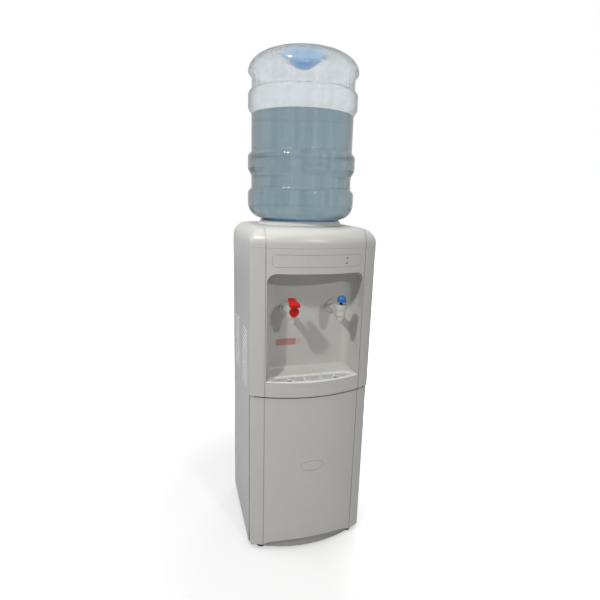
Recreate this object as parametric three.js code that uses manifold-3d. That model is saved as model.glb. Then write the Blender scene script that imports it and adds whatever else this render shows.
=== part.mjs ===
// A floor-standing hot and cold water dispenser with its bottle, in millimetres, +Z up.
// The origin is on the floor under the middle of the body, and the front faces -Y.
import * as THREE from 'three';
import { mergeVertices } from 'three/addons/utils/BufferGeometryUtils.js';
import Module from 'manifold-3d';

const wasm = await Module();
wasm.setup();

// Body
const bodyWidth = 310;
const bodyDepth = 316;
const bowRadius = 326; // plan radius of the bowed front
const cornerRadius = 10;
const sheet = 1.2; // side and back sheet metal
const wall = 2.5; // moulded walls
const fit = 0.3; // gap left between fixed pieces
const reach = 20; // overrun of every cutting tool
const grooveInset = 34; // from each side to the front's upright grooves
const grooveWidth = 2;
const grooveDepth = 1.2;

// Base
const padHeight = 3.7;
const padRadius = 14;
const padBevel = 0.4;
const padInset = 34; // from the sides of the body
const padFrontInset = 50; // behind the foremost line of the bow
const padRearInset = 38;
const stemRadius = 4;
const stemHeight = 12;
const floorHeight = 40; // top of the cabinet floor
const floorPlate = 3.5;
const plinthInset = 17;
const plinthSetback = 12; // how far the plinth stands behind the bow
const plinthCorner = 14;
const plinthRearInset = 18;
const flangeDepth = 28;
const ribHeight = 14;
const ribCount = 5;

// Door
const doorBottom = 15;
const doorHeight = 418;
const doorInset = 2.2;
const doorCorner = 9;
const doorSeam = 3; // from the door's back to the seam of the side sheets
const doorGap = 4; // seam over the door
const archInset = 37;
const archRise = 20;
const doorFloor = 42; // underside of the closed part of the door
const ovalWidth = 62;
const ovalHeight = 30;
const ovalZ = 246;
const ovalLine = 2;
const ovalDepth = 0.8;
const linerThickness = 2;
const linerPanelDepth = 0.8;
const linerMargin = 26;

// Door hinge
const pinRadius = 1.8;
const pinPlay = 0.3;
const pinLength = 16;
const pinInX = 3; // from the centre of the door's corner towards the side
const pinInY = 4; // and towards the front
const bossRadius = 4;
const hingePlate = 2.5;
const hingeArm = 2;
const hingeWidth = 14;

// Cabinet and its ceiling
const seamSetback = 5.8; // from the end of the front corner to the edge of the side sheets
const sideFlange = 14;
const sideBottom = 10;
const ceilingZ = 424; // underside
const ceilingThickness = 2.5;
const lipDrop = 16;
const magnetInset = 37;
const magnetWidth = 36;
const magnetHeight = 12;
const magnetThickness = 2;

// Upper front panel
const panelHeight = 360;
const bayInset = 36.5;
const bayBottom = 39; // above the panel's lower edge
const bayHeight = 263;
const bayTopRadius = 22;
const bayDepthShare = 0.2532; // of the body's depth, from the foremost line of the bow
const bayBackRadius = 36;
const baySweep = 26; // radius from the back wall down to the tray
const stripInset = 47;
const stripHeight = 29;
const stripMargin = 14; // from the strip up to the panel's top
const stripRadius = 9;
const stripDepth = 1;
const stripThickness = 0.6;
const lightInset = 87;
const lightRadius = 1.6;
const lightLength = 6;
const lightSpacing = 12;

// Drip tray and grille
const trayPlay = 1.7; // between the tray and each side of the recess
const trayBehind = 25.5; // from the tray's back to the recess's back wall
const trayBackRadius = 32;
const trayDepth = 25;
const trayRim = 2.5;
const trayWall = 1.8;
const rimWidth = 5;
const ledgeWidth = 2;
const ledgeDrop = 5;
const lipHalfWidth = 60;
const lipReach = 1.4;
const lipHeight = 7;
const grilleThickness = 2.6;
const grilleFrame = 3.4;
const grilleSlot = 3.2;
const grillePitch = 6.8;
const dividerX = 21.5;
const dividerWidth = 3;
const drainHoleX = 60;
const drainHoleInset = 20; // behind the foremost line of the bow
const drainHoleRadius = 8.5;
const drainRingRadius = 11.5;

// Side louvres
const louvreInset = 80;
const louvreRearInset = 34;
const louvreBridge = 54; // plain sheet between the two columns
const louvreBottom = 442;
const louvrePitch = 10;
const louvreRows = 15;
const louvreSlot = 4;
const louvreBlade = 0.9;
const louvreLean = 4;

// Top cover
const coverHeight = 44;
const coverBand = 8; // upright band under the rounding
const coverRounding = 37;
const coverWall = 3;
const coverCornerGrowth = 0.75; // share of the rounding that is added to the plan corner
const coverRearShare = 0.5;
const coverLip = 7;

// Bottle, upside down
const bottleRadius = 134.5;
const bottleWaist = 126;
const bottleHeight = 471;
const mouthZ = 775;
const neckRadius = 27.5;
const neckHeight = 53;
const shoulderRadius = 70;
const shoulderSlopeDeg = 20;
const crownReach = 78; // how far its rounding comes in from the wall
const crownHeight = 47;
const puntRadius = 56;
const puntDepth = 36;
const bottleWall = 1.3;
const waterTop = 1104;
const capWall = 2.7;
const capHeight = 27;
const capSleeveRadius = 9;
const capSleeveWall = 1.8;
const capSleeveHeight = 15;

// Bottle seat and feed probe
const seatRadius = 108;
const seatTopRadius = 101;
const seatContactRadius = 96;
const seatWall = 2.5;
const seatRingRadius = 95.6;
const seatRingDrop = 9;
const wellRadius = 35;
const wellDepth = 84; // below the top of the cover
const probeRadius = 7.8;
const probeTip = 16;
const probeRise = 66;
const probeTail = 18;
const probeFlange = 20;
const probeFlangeThickness = 2.5;
const probeBore = 5;

// Cold tank, its jacket and the cooler
const tankClearance = 19.2; // from the recess's back wall to the tank's jacket
const blockThickness = 11.7; // of the cold block at its thinnest
const tankBottom = 606;
const tankHeight = 144;
const tankWall = 1.5;
const tankMouth = 12;
const jacketThickness = 16;
const jacketFloor = 14;
const coolerZ = 690;
const coolerWidth = 42;
const coolerInset = 62.3; // from the rear of the body to the cooler's hot side
const sinkWidth = 90;
const sinkBase = 5;
const sinkDepth = 23;
const finCount = 12;
const finThickness = 1.6;
const fanWidth = 92;
const fanDepth = 25;
const fanBore = 43;
const fanWall = 3;
const bladeRadius = 41;
const bladeCount = 7;
const bladeThickness = 1.5;
const bladePitchDeg = 40;
const hubRadius = 17;
const hubDepth = 16;
const spindleRadius = 2.5;
const spindlePlay = 0.3;
const strutWidth = 5;
const strutThickness = 3;
const shelfThickness = 1.5;
const shelfFrontInset = 108;
const shelfRearInset = 40;
const shelfFlange = 12;

// Hot tank
const hotX = -55;
const hotInset = 118; // from the rear of the body to the hot tank's middle
const hotRadius = 45;
const hotBottom = 440;
const hotHeight = 118;
const hotNeck = 7;
const hotNeckBore = 5;
const hotNeckHeight = 6;
const footRingRadius = 38;
const bandThickness = 3;
const bandBottom = 465;
const bandHeight = 40;
const hotJacket = 12;
const hotJacketTrim = 3;

// Hoses and drain
const hoseRadius = 5;
const drainRadius = 5;
const drainBore = 3.2;
const drainZ = 456;
const drainCapRadius = 8.5;
const drainCapDepth = 8;
const drainCapWall = 2.4;
const capRibs = 12;
const capRibDepth = 0.7;

// Back panel and what sits in it
const backSetback = 9.8; // from the rear edge of the body to the back plate
const backFlangeSetback = 0.5;
const backBottom = 14;
const ventRows = 9;
const ventPitch = 9.4;
const ventSlot = 4;
const ventHalfWidth = 42;
const ventBridge = 4;
const switchInset = 55;
const switchZ = 700;
const switchWidth = 18;
const switchHeight = 24;
const switchDepth = 20;
const switchBezel = 2.5;
const switchRim = 3;
const rockerTilt = 9;
const rockerNose = 5.5;
const rockerDip = 1.4;
const rockerPlay = 0.5;
const glandInset = 60;
const glandZ = 455;
const glandBore = 3.6;
const glandBarrel = 7.5;
const glandFlange = 10.5;
const glandNose = 8.6;
const glandTail = 6;
const supplyX = 85;
const supplyInset = 86;
const supplyWidth = 100;
const supplyDepth = 76;
const supplyHeight = 42;
const supplyCorner = 5;
const supplyFins = 9;

// Taps
const tapX = 60;
const tapReach = 67; // from the recess's back wall to the tap's upright axis
const tapZ = 642.5;
const nozzleDrop = 19.5;
const nozzleTipRadius = 7.6;
const nozzleRadius = 9.4;
const nozzleBore = 5.6;
const headRadius = 12;
const headTop = 17.5; // above the barrel's centre
const chamberRadius = 9.4;
const chamberFloor = 4.6; // below the barrel's centre
const seatHole = 4.5;
const seatThickness = 2.4;
const barrelRadius = 8.8;
const barrelBore = 4.2;
const tapFlange = 16.4;
const tapFlangeThickness = 4;
const tapTail = 19;
const nutRadius = 14.5;
const nutThickness = 7;
const nutBevel = 1.5;
const capRadius = 14;
const capTop = 20.5;
const stemRod = 3;
const stemTop = 30.7;
const plugRadius = 6.8;
const plugHeight = 5.5;
const springRadius = 6.4;
const springBore = 4.3;
const crossPin = 1.4;
const crossPinHalf = 7;
const crossPinZ = 29.2;
const leverEar = 2.4;
const leverWall = 2;
const coldLeverRadius = 11;
const coldLeverRise = 14.5;
const coldLeverBase = 28.6;
const coldLeverForward = 4; // the dome's middle stands in front of the stem
const domeFullness = 0.6; // the power that squares up the dome's round outline
const brimReach = 15;
const brimHalfWidth = 11;
const brimThickness = 2.4;
const hotLeverLength = 40;
const hotLeverRear = 14; // behind the stem
const hotLeverRearWidth = 16;
const hotLeverFrontWidth = 26;
const hotLeverThickness = 2;
const hotLeverBase = 35; // underside of its rear edge
const hotLeverDrop = 8.5; // how much lower its front edge is
const hotLeverSkirt = 4;
const latchRadius = 11.5;
const latchThickness = 4;
const latchDish = 1.6;
const latchRim = 2;
const latchPivotZ = 22;
const latchDrop = 11.5;
const latchEar = 3.4;
const latchPin = 1.3;

// Shares of the bottle's height, counted from its mouth: at 1 the wall is out on a hoop, at 0 in a waist
const hoopShares = [
  [0.31, 1], [0.329, 0], [0.393, 0], [0.425, 1], [0.495, 1], [0.515, 0],
  [0.7, 0], [0.728, 1], [0.8, 1], [0.817, 0], [0.877, 0], [0.9, 1],
];
// Shares of the punt's radius and depth, from its rim to its middle
const puntShares = [[1, 0], [0.78, 0.3], [0.45, 0.75], [0, 1]];
const steps = 10; // facets along the bow
const turns = 20; // facets round the bottle and its seat
const tankTurns = 14; // facets round the tanks
const smallTurns = 12; // facets round the taps and other small round pieces
const fewTurns = 8; // facets round the smallest holes and pins

// Levels and faces that follow from the sizes
const rearY = bodyDepth / 2;
const frontY = -bodyDepth / 2; // foremost line of the bow
const halfWidth = bodyWidth / 2;
const bowCentre = bowRadius + frontY;
const sideFront = bowCentre - Math.sqrt((bowRadius - cornerRadius) ** 2 - (halfWidth - cornerRadius) ** 2);
const seamY = sideFront + seamSetback; // where the moulded front meets the side sheets
const doorRear = seamY - doorSeam;
const grooveX = halfWidth - grooveInset;
const padX = halfWidth - padInset;
const padFrontY = frontY + padFrontInset;
const padRearY = rearY - padRearInset;
const plinthHalfWidth = halfWidth - plinthInset;
const plinthRear = rearY - plinthRearInset;
const bayHalfWidth = halfWidth - bayInset;
const bayBackY = frontY + bodyDepth * bayDepthShare;
const trayHalfWidth = bayHalfWidth - trayPlay;
const trayBackY = bayBackY - trayBehind;
const drainHoleY = frontY + drainHoleInset;
const tapY = bayBackY - tapReach;
const coolerRear = rearY - coolerInset;
const shelfFrontY = frontY + shelfFrontInset;
const shelfRearY = rearY - shelfRearInset;
const switchX = halfWidth - switchInset;
const glandX = halfWidth - glandInset;
const hotY = rearY - hotInset;
const supplyY = rearY - supplyInset;
const louvreColumn = (bodyDepth - louvreInset - louvreRearInset - louvreBridge) / 2;
const tankFront = bayBackY + wall + tankClearance + jacketThickness + fit;
const tankRear = coolerRear - blockThickness;
const tankRadius = (tankRear - tankFront) / 2;
const bottleY = (tankRear + tankFront) / 2; // the bottle stands over the cold tank
const doorTop = doorBottom + doorHeight;
const panelBottom = doorTop + doorGap;
const panelTop = panelBottom + panelHeight;
const coverBottom = panelTop + fit;
const coverTop = coverBottom + coverHeight;
const bayZ = panelBottom + bayBottom;
const bayTop = bayZ + bayHeight;
const backY = rearY - backSetback; // outer face of the back plate
const plateFront = backY - sheet;
const ceilingTop = ceilingZ + ceilingThickness;
const insideX = halfWidth - sheet; // inner face of a side sheet

// Solids from three.js geometry

function solid(geometry) {
  const bare = geometry.index ? geometry.toNonIndexed() : geometry.clone();
  const positions = new THREE.BufferGeometry().setAttribute('position', bare.getAttribute('position'));
  const merged = mergeVertices(positions);
  const vertProperties = new Float32Array(merged.attributes.position.array);
  const triVerts = new Uint32Array(merged.index.array);
  return new wasm.Manifold(new wasm.Mesh({ numProp: 3, vertProperties, triVerts }));
}

function join(...solids) {
  return solids.flat().reduce((whole, next) => whole.add(next));
}

function cut(from, ...tools) {
  return tools.flat().reduce((whole, tool) => whole.subtract(tool), from);
}

// An outline run through from one level to another; place turns (u, v, level) into (x, y, z).
function extruded(points, start, end, place) {
  const shape = new THREE.Shape(points.map(([u, v]) => new THREE.Vector2(u, v)));
  const geometry = new THREE.ExtrudeGeometry(shape, { depth: 1, bevelEnabled: false, steps: 1 });
  const position = geometry.getAttribute('position');
  for (let i = 0; i < position.count; i += 1) {
    const level = position.getZ(i) > 0 ? end : start;
    position.setXYZ(i, ...place(position.getX(i), position.getY(i), level));
  }
  return solid(geometry);
}

// An outline in plan, raised from low to high.
function prism(points, low, high) {
  return extruded(points, low, high, (u, v, level) => [u, v, level]);
}

// An outline in x and z, run through from front to rear.
function prismY(points, front, rear) {
  return extruded(points, rear, front, (u, v, level) => [u, level, v]);
}

// An outline in y and z, run through from left to right.
function prismX(points, left, right) {
  return extruded(points, left, right, (u, v, level) => [level, u, v]);
}

function block(x0, x1, y0, y1, z0, z1) {
  return prism([[x0, y0], [x1, y0], [x1, y1], [x0, y1]], z0, z1);
}

// The same block on the left and on the right.
function pairOfBlocks(x0, x1, ...rest) {
  return join(block(x0, x1, ...rest), block(-x1, -x0, ...rest));
}

// A profile of [radius, height] points turned about an upright axis at x, y.
function turned(profile, segments, x = 0, y = 0) {
  const closed = profile[0][0] > 0 ? [...profile, profile[0]] : profile;
  const points = closed.map(([r, z]) => new THREE.Vector2(r, z));
  return solid(new THREE.LatheGeometry(points, segments).rotateX(Math.PI / 2).translate(x, y, 0));
}

// The same, about an axis that runs along Y through x, z; heights become distances to the rear.
function turnedY(profile, segments, x, z) {
  const closed = profile[0][0] > 0 ? [...profile, profile[0]] : profile;
  const points = closed.map(([r, along]) => new THREE.Vector2(r, along));
  const lathe = new THREE.LatheGeometry(points, segments);
  return solid(lathe.translate(x, 0, z));
}

function rod(radius, low, high, segments, x = 0, y = 0) {
  return turned([[0, low], [radius, low], [radius, high], [0, high]], segments, x, y);
}

function rodY(radius, front, rear, segments, x, z) {
  return turnedY([[0, front], [radius, front], [radius, rear], [0, rear]], segments, x, z);
}

function rodX(radius, left, right, segments, y, z) {
  const points = arc(0, 0, radius, 0, 2 * Math.PI, segments).slice(0, -1);
  return prismX(points.map(([u, v]) => [u + y, v + z]), left, right);
}

// Rings of equal count, one above the other, closed at both ends.
function loft(rings) {
  const count = rings[0].length;
  const positions = rings.flat(2);
  const index = [];
  for (let level = 0; level + 1 < rings.length; level += 1) {
    for (let i = 0; i < count; i += 1) {
      const a = level * count + i;
      const b = level * count + ((i + 1) % count);
      index.push(a, b, b + count, a, b + count, a + count);
    }
  }
  const last = (rings.length - 1) * count;
  const lid = THREE.ShapeUtils.triangulateShape(rings[0].map(([x, y]) => new THREE.Vector2(x, y)), []);
  const roof = THREE.ShapeUtils.triangulateShape(rings.at(-1).map(([x, y]) => new THREE.Vector2(x, y)), []);
  lid.forEach(([a, b, c]) => index.push(a, c, b));
  roof.forEach(([a, b, c]) => index.push(last + a, last + b, last + c));
  const geometry = new THREE.BufferGeometry();
  geometry.setAttribute('position', new THREE.Float32BufferAttribute(positions, 3));
  geometry.setIndex(index);
  return solid(geometry);
}

// A hose of six sides along a smooth curve.
function hose(radius, points) {
  const curve = new THREE.CatmullRomCurve3(points.map((p) => new THREE.Vector3(...p)));
  const ring = arc(0, 0, radius, 0, 2 * Math.PI, 6).slice(0, -1);
  const section = new THREE.Shape(ring.map(([u, v]) => new THREE.Vector2(u, v)));
  const settings = { steps: 2 * points.length, bevelEnabled: false, extrudePath: curve };
  return solid(new THREE.ExtrudeGeometry(section, settings));
}

// Outlines

function arc(cx, cy, radius, from, to, count) {
  const points = [];
  for (let i = 0; i <= count; i += 1) {
    const a = from + ((to - from) * i) / count;
    points.push([cx + radius * Math.cos(a), cy + radius * Math.sin(a)]);
  }
  return points;
}

function roundedRectangle(x0, x1, y0, y1, radius, count = 5) {
  return [
    ...arc(x1 - radius, y1 - radius, radius, 0, Math.PI / 2, count),
    ...arc(x0 + radius, y1 - radius, radius, Math.PI / 2, Math.PI, count),
    ...arc(x0 + radius, y0 + radius, radius, Math.PI, 1.5 * Math.PI, count),
    ...arc(x1 - radius, y0 + radius, radius, 1.5 * Math.PI, 2 * Math.PI, count),
  ];
}

// Plan of a body with a bowed front, straight sides and rounded corners.
function bowedPlan(half, radius, corner, rear, rearCorner) {
  const cx = half - corner;
  const cy = bowCentre - Math.sqrt((radius - corner) ** 2 - cx ** 2);
  const right = Math.atan2(cy - bowCentre, cx);
  const left = -Math.PI - right;
  return [
    ...arc(half - rearCorner, rear - rearCorner, rearCorner, 0, Math.PI / 2, 2),
    ...arc(rearCorner - half, rear - rearCorner, rearCorner, Math.PI / 2, Math.PI, 2),
    ...arc(-cx, cy, corner, -Math.PI, left, 3),
    ...arc(0, bowCentre, radius, left, right, steps).slice(1, -1),
    ...arc(cx, cy, corner, right, 0, 3),
  ];
}

// The body's plan, set in by some amount.
function bodyPlan(inset) {
  const corner = Math.max(cornerRadius - inset, fit);
  return bowedPlan(halfWidth - inset, bowRadius - inset, corner, rearY, fit);
}

// y of the bowed front, set in by some amount.
function bowY(x, inset = 0) {
  return bowCentre - Math.sqrt((bowRadius - inset) ** 2 - x ** 2);
}

// A skin that follows the body's plan between two insets.
function skin(outer, inner, low, high) {
  return cut(prism(bodyPlan(outer), low, high), prism(bodyPlan(inner), low - reach, high + reach));
}

function bodyBlock(y0, y1, z0, z1) {
  return block(-bodyWidth, bodyWidth, y0, y1, z0, z1);
}

// Upright slabs where the front's grooves are, from before the front to some y.
function grooveSlabs(rear) {
  const [x0, x1] = [grooveX - grooveWidth / 2, grooveX + grooveWidth / 2];
  return pairOfBlocks(x0, x1, -bodyDepth, rear, 0, coverTop - grooveDepth);
}

// The upright grooves cut into a skin that is set in by inset.
function grooves(inset, low, high) {
  const band = skin(inset, inset + grooveDepth, low, high);
  return band.intersect(grooveSlabs(doorRear));
}

// A polyline moved sideways by a wall thickness, with its ends kept level.
function offsetProfile(points, distance) {
  return points.map((point, i) => {
    const before = points[Math.max(i - 1, 0)];
    const after = points[Math.min(i + 1, points.length - 1)];
    const [dr, dz] = [after[0] - before[0], after[1] - before[1]];
    const length = Math.hypot(dr, dz);
    return [point[0] - (dz / length) * distance, point[1] + (dr / length) * distance];
  });
}

// Finishes

function finish(color, roughness, metalness = 0) {
  return new THREE.MeshStandardMaterial({ color, roughness, metalness });
}

const whiteGloss = finish(0xe9e9e7, 0.25);
const whiteSheet = finish(0xdfe0de, 0.4);
const greyPlastic = finish(0xb9b8b5, 0.5);
const darkPlastic = finish(0x2b2c2e, 0.5);
const steel = finish(0xb8babc, 0.3, 1);
const aluminium = finish(0xc9cbcd, 0.4, 1);
const rubber = finish(0x26262a, 0.9);
const foam = finish(0xe8e2cf, 0.95);
const clearBlue = Object.assign(finish(0xc4dbe6, 0.1), { transparent: true, opacity: 0.45 });
const waterBlue = Object.assign(finish(0x9fc0cf, 0.05), { transparent: true, opacity: 0.6 });
const capBlue = finish(0x3f8fd0, 0.4);
const red = finish(0xc01f22, 0.3);
const blue = finish(0x1f62b8, 0.3);
const amber = finish(0xd8a23a, 0.3);
const green = finish(0x4fa35a, 0.3);
const silicone = finish(0xe6e6e0, 0.6);

const group = new THREE.Group();

// Adds a solid to the model as a named mesh.
function add(name, body, material, parent = group) {
  const { vertProperties, triVerts } = body.getMesh();
  const geometry = new THREE.BufferGeometry();
  geometry.setAttribute('position', new THREE.BufferAttribute(vertProperties, 3));
  geometry.setIndex(new THREE.BufferAttribute(triVerts, 1));
  geometry.computeVertexNormals();
  const mesh = new THREE.Mesh(geometry, material);
  mesh.name = name;
  parent.add(mesh);
  return mesh;
}

function placed(x, y, z, parent = group) {
  const holder = new THREE.Group();
  holder.position.set(x, y, z);
  parent.add(holder);
  return holder;
}

// Base pan: the cabinet floor with a plinth below it, edge flanges, ribs and foot sockets.
const skirtBottom = padHeight + fit;
const panRear = plateFront - fit;
const panHalf = insideX - fit;

function plinthPlan(inset) {
  const radius = bowRadius - plinthSetback - inset;
  const corner = plinthCorner - inset;
  return bowedPlan(plinthHalfWidth - inset, radius, corner, plinthRear - inset, corner);
}

function basePan() {
  const floorBottom = floorHeight - floorPlate;
  const plinth = cut(
    prism(plinthPlan(0), skirtBottom, floorHeight),
    prism(plinthPlan(wall), skirtBottom - reach, floorBottom),
  );
  const low = floorHeight - flangeDepth;
  const inner = panHalf - wall;
  const plate = cut(
    block(-panHalf, panHalf, seamY + wall, panRear, low, floorHeight),
    block(-inner, inner, seamY - reach, panRear - wall, low - reach, floorBottom),
  );
  const ribs = [];
  for (let i = 1; i < ribCount; i += 1) {
    const x = -plinthHalfWidth + (2 * plinthHalfWidth * i) / ribCount;
    ribs.push(block(x, x + wall, padFrontY, plinthRear - wall, floorBottom - ribHeight, floorHeight));
  }
  const sockets = [];
  const bores = [];
  [-padX, padX].forEach((x) => {
    [padFrontY, padRearY].forEach((y) => {
      sockets.push(rod(stemRadius + wall, skirtBottom, floorHeight, fewTurns, x, y));
      bores.push(rod(stemRadius + fit, skirtBottom - reach, skirtBottom + stemHeight, fewTurns, x, y));
    });
  });
  const padRear = seamY + wall + hingeWidth;
  const pad = block(-panHalf, -plinthHalfWidth, seamY + wall, padRear, hingeSeatZ, floorHeight);
  return cut(join(plinth, plate, ribs, sockets, pad), bores);
}

function foot() {
  return join(
    turned([[0, 0], [padRadius - padBevel, 0], [padRadius, padHeight], [0, padHeight]], smallTurns),
    rod(stemRadius, 0, stemHeight, fewTurns),
  );
}

// Hinge: the pin stands inside the door's left corner, where its rounding turns about it.
const doorHalf = halfWidth - doorInset;
const cornerX = -(doorHalf - doorCorner);
const cornerY = bowCentre - Math.sqrt((bowRadius - doorInset - doorCorner) ** 2 - cornerX ** 2);
const pinX = cornerX - pinInX;
const pinY = cornerY - pinInY;
const hingeTopZ = doorBottom - (doorGap - hingeArm) / 2 + fit / 2;
const hingeSeatZ = hingeTopZ + fit;

function lowerHinge() {
  const rear = seamY + wall + hingeWidth;
  const left = pinX - bossRadius;
  const right = -plinthHalfWidth - fit;
  const front = pinY - bossRadius;
  const plate = prism(
    [[right, rear], [left, rear], ...arc(pinX, pinY, bossRadius, Math.PI, 1.5 * Math.PI, 4), [right, front]],
    hingeTopZ - hingePlate,
    hingeTopZ,
  );
  return join(plate, rod(pinRadius, hingeTopZ - hingePlate, hingeTopZ + pinLength, fewTurns, pinX, pinY));
}

function upperHinge() {
  const low = doorTop + (doorGap - hingeArm) / 2;
  const high = low + hingeArm;
  const left = -(halfWidth - sideFlange) + fit;
  const right = left + hingeWidth;
  const front = pinY - bossRadius;
  const turn = seamY - hingeArm; // the arm passes in front of the side flange here
  const arm = prism(
    [
      [right, seamY + wall + hingeArm],
      [left, seamY + wall + hingeArm],
      [left, turn],
      [pinX - bossRadius, turn],
      ...arc(pinX, pinY, bossRadius, Math.PI, 1.5 * Math.PI, 4),
      [right, front],
    ],
    low,
    high,
  );
  const footZ = ceilingTop + fit;
  const web = block(left, right, seamY + wall, seamY + wall + hingeArm, footZ, high);
  const sole = block(left, right, seamY + wall, seamY + wall + hingeWidth, footZ, footZ + hingeArm);
  return join(arm, web, sole, rod(pinRadius, high - pinLength, high, fewTurns, pinX, pinY));
}

// Door: a bowed skin with an arched lower edge, closed behind by a liner.
function doorPlan(inset) {
  const corner = doorCorner - inset;
  return bowedPlan(doorHalf - inset, bowRadius - doorInset - inset, corner, rearY, fit);
}

function doorSkin(outer, inner, low, high) {
  return cut(prism(doorPlan(outer), low, high), prism(doorPlan(inner), low - reach, high + reach));
}

function ovalRing() {
  const ring = (grow) => {
    const count = 18;
    const points = [];
    for (let i = 0; i < count; i += 1) {
      const a = (2 * Math.PI * i) / count;
      points.push([(ovalWidth / 2 + grow) * Math.cos(a), ovalZ + (ovalHeight / 2 + grow) * Math.sin(a)]);
    }
    return points;
  };
  return cut(prismY(ring(0), -bodyDepth, 0), prismY(ring(-ovalLine), -bodyDepth, 0));
}

function door() {
  const behind = bodyBlock(doorRear, bodyDepth, 0, coverTop);
  const front = doorSkin(0, wall, doorBottom, doorTop);
  const full = prism(doorPlan(wall / 2), doorTop - wall, doorTop);
  const floor = prism(doorPlan(wall / 2), doorFloor, doorFloor + wall);
  const half = halfWidth - archInset;
  const arch = arc(0, 0, 1, Math.PI, 0, 12).map(([u, v]) => [u * half, doorBottom + v * archRise]);
  const archCut = prismY([[half, 0], [-half, 0], ...arch], -bodyDepth, 0);
  const bosses = join(
    rod(bossRadius, doorBottom, doorFloor + wall / 2, fewTurns, pinX, pinY),
    rod(bossRadius, doorTop - pinLength, doorTop, fewTurns, pinX, pinY),
  ).intersect(prism(doorPlan(0), 0, coverTop));
  const bore = rod(pinRadius + pinPlay, 0, doorBottom + pinLength + fit, fewTurns, pinX, pinY);
  const topBore = rod(pinRadius + pinPlay, doorTop - pinLength - fit, coverTop, fewTurns, pinX, pinY);
  const grooveCut = doorSkin(-fit, grooveDepth, 0, coverTop).intersect(grooveSlabs(doorRear - wall));
  const ovalCut = doorSkin(-fit, ovalDepth, 0, coverTop).intersect(ovalRing());
  return cut(join(front, full, floor, bosses), behind, archCut, bore, topBore, grooveCut, ovalCut);
}

function doorLiner() {
  const rear = doorRear - fit;
  const front = rear - linerThickness;
  const half = doorHalf - wall - fit;
  const low = doorFloor + wall + fit;
  const high = doorTop - wall - fit;
  const plate = block(-half, half, front, rear, low, high);
  const bossGap = rod(bossRadius + fit, doorTop - pinLength - fit, doorTop, fewTurns, pinX, pinY);
  const dish = block(
    -half + linerMargin,
    half - linerMargin,
    rear - linerPanelDepth,
    rear + reach,
    low + linerMargin,
    high - 2 * linerMargin,
  );
  return cut(plate, dish, bossGap);
}

// Magnet on the ceiling's lip and the plate it holds.
function magnetBar(front, rear) {
  const x = halfWidth - magnetInset;
  const z = ceilingZ - lipDrop + fit;
  return block(x - magnetWidth / 2, x + magnetWidth / 2, front, rear, z, z + magnetHeight);
}

function doorMagnet() {
  return magnetBar(seamY - fit - magnetThickness, seamY - fit);
}

function doorStrike() {
  return magnetBar(doorRear - fit / 2, seamY - fit - magnetThickness - fit);
}

// Side sheets with a front flange and two columns of pressed louvres.
function sidePanel(side) {
  const flangeLow = floorHeight + fit;
  const flangeHigh = panelTop - coverLip - fit;
  const outer = side * halfWidth;
  const inner = side * insideX;
  const [x0, x1] = [Math.min(outer, inner), Math.max(outer, inner)];
  const plate = block(x0, x1, seamY, rearY, sideBottom, panelTop);
  const lip = side * (halfWidth - sideFlange);
  const [f0, f1] = [Math.min(outer, lip), Math.max(outer, lip)];
  const flange = block(f0, f1, seamY, seamY + sheet, flangeLow, flangeHigh);
  const slots = [];
  const blades = [];
  for (let column = 0; column < 2; column += 1) {
    const y = frontY + louvreInset + column * (louvreColumn + louvreBridge);
    for (let row = 0; row < louvreRows; row += 1) {
      const z = louvreBottom + row * louvrePitch;
      slots.push(block(x0 - reach, x1 + reach, y, y + louvreColumn, z, z + louvreSlot));
      blades.push(louvreBladeAt(side, y, z + louvreSlot));
    }
  }
  return join(cut(join(plate, flange), slots), blades);
}

// A blade hangs from the top of its slot and leans inwards.
function louvreBladeAt(side, y, z) {
  const at = (depth, height) => [side * (halfWidth - depth), z + height];
  const outline = [at(0, 0), at(sheet, louvreBlade), at(louvreLean, -louvreSlot)];
  return prismY(outline, y, y + louvreColumn);
}

// Back panel: a plate with edges folded to the rear, vents for the fan and cut-outs.
function backPanel() {
  const half = insideX - fit;
  const rear = rearY - backFlangeSetback;
  const low = backBottom;
  const high = panelTop - fit;
  const box = block(-half, half, plateFront, rear, low, high);
  const hollow = block(sheet - half, half - sheet, backY, rear + reach, low + sheet, high - sheet);
  const vents = [];
  for (let row = 0; row < ventRows; row += 1) {
    const z = coolerZ + (row - (ventRows - 1) / 2) * ventPitch - ventSlot / 2;
    [[-ventHalfWidth, -ventBridge], [ventBridge, ventHalfWidth]].forEach(([a, b]) => {
      vents.push(block(a, b, plateFront - reach, backY + sheet, z, z + ventSlot));
    });
  }
  const switches = block(
    switchX - switchBodyHalf - fit,
    switchX + switchBodyHalf + fit,
    plateFront - reach,
    backY + sheet,
    switchZ - switchBodyTall - fit,
    switchZ + switchBodyTall + fit,
  );
  const gland = rodY(glandBarrel + fit, plateFront - reach, backY + sheet, smallTurns, glandX, glandZ);
  const drain = rodY(drainRadius + fit, plateFront - reach, backY + sheet, smallTurns, hotX, drainZ);
  return cut(box, hollow, vents, switches, gland, drain);
}

// Ceiling of the cabinet with a front lip and side tabs.
function cabinetCeiling() {
  const half = insideX - fit;
  const front = seamY + sheet + fit;
  const plate = block(-half, half, front, panRear, ceilingZ, ceilingTop);
  const lipHalf = halfWidth - sideFlange - fit;
  const lip = block(-lipHalf, lipHalf, seamY, seamY + wall, ceilingZ - lipDrop, ceilingTop);
  const tabs = pairOfBlocks(half - wall, half, front + sideFlange, panRear, ceilingZ - lipDrop, ceilingTop);
  return join(plate, lip, tabs);
}

// Shelf that carries the cold tank.
const shelfZ = tankBottom - fit - jacketFloor - fit - shelfThickness;

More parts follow.
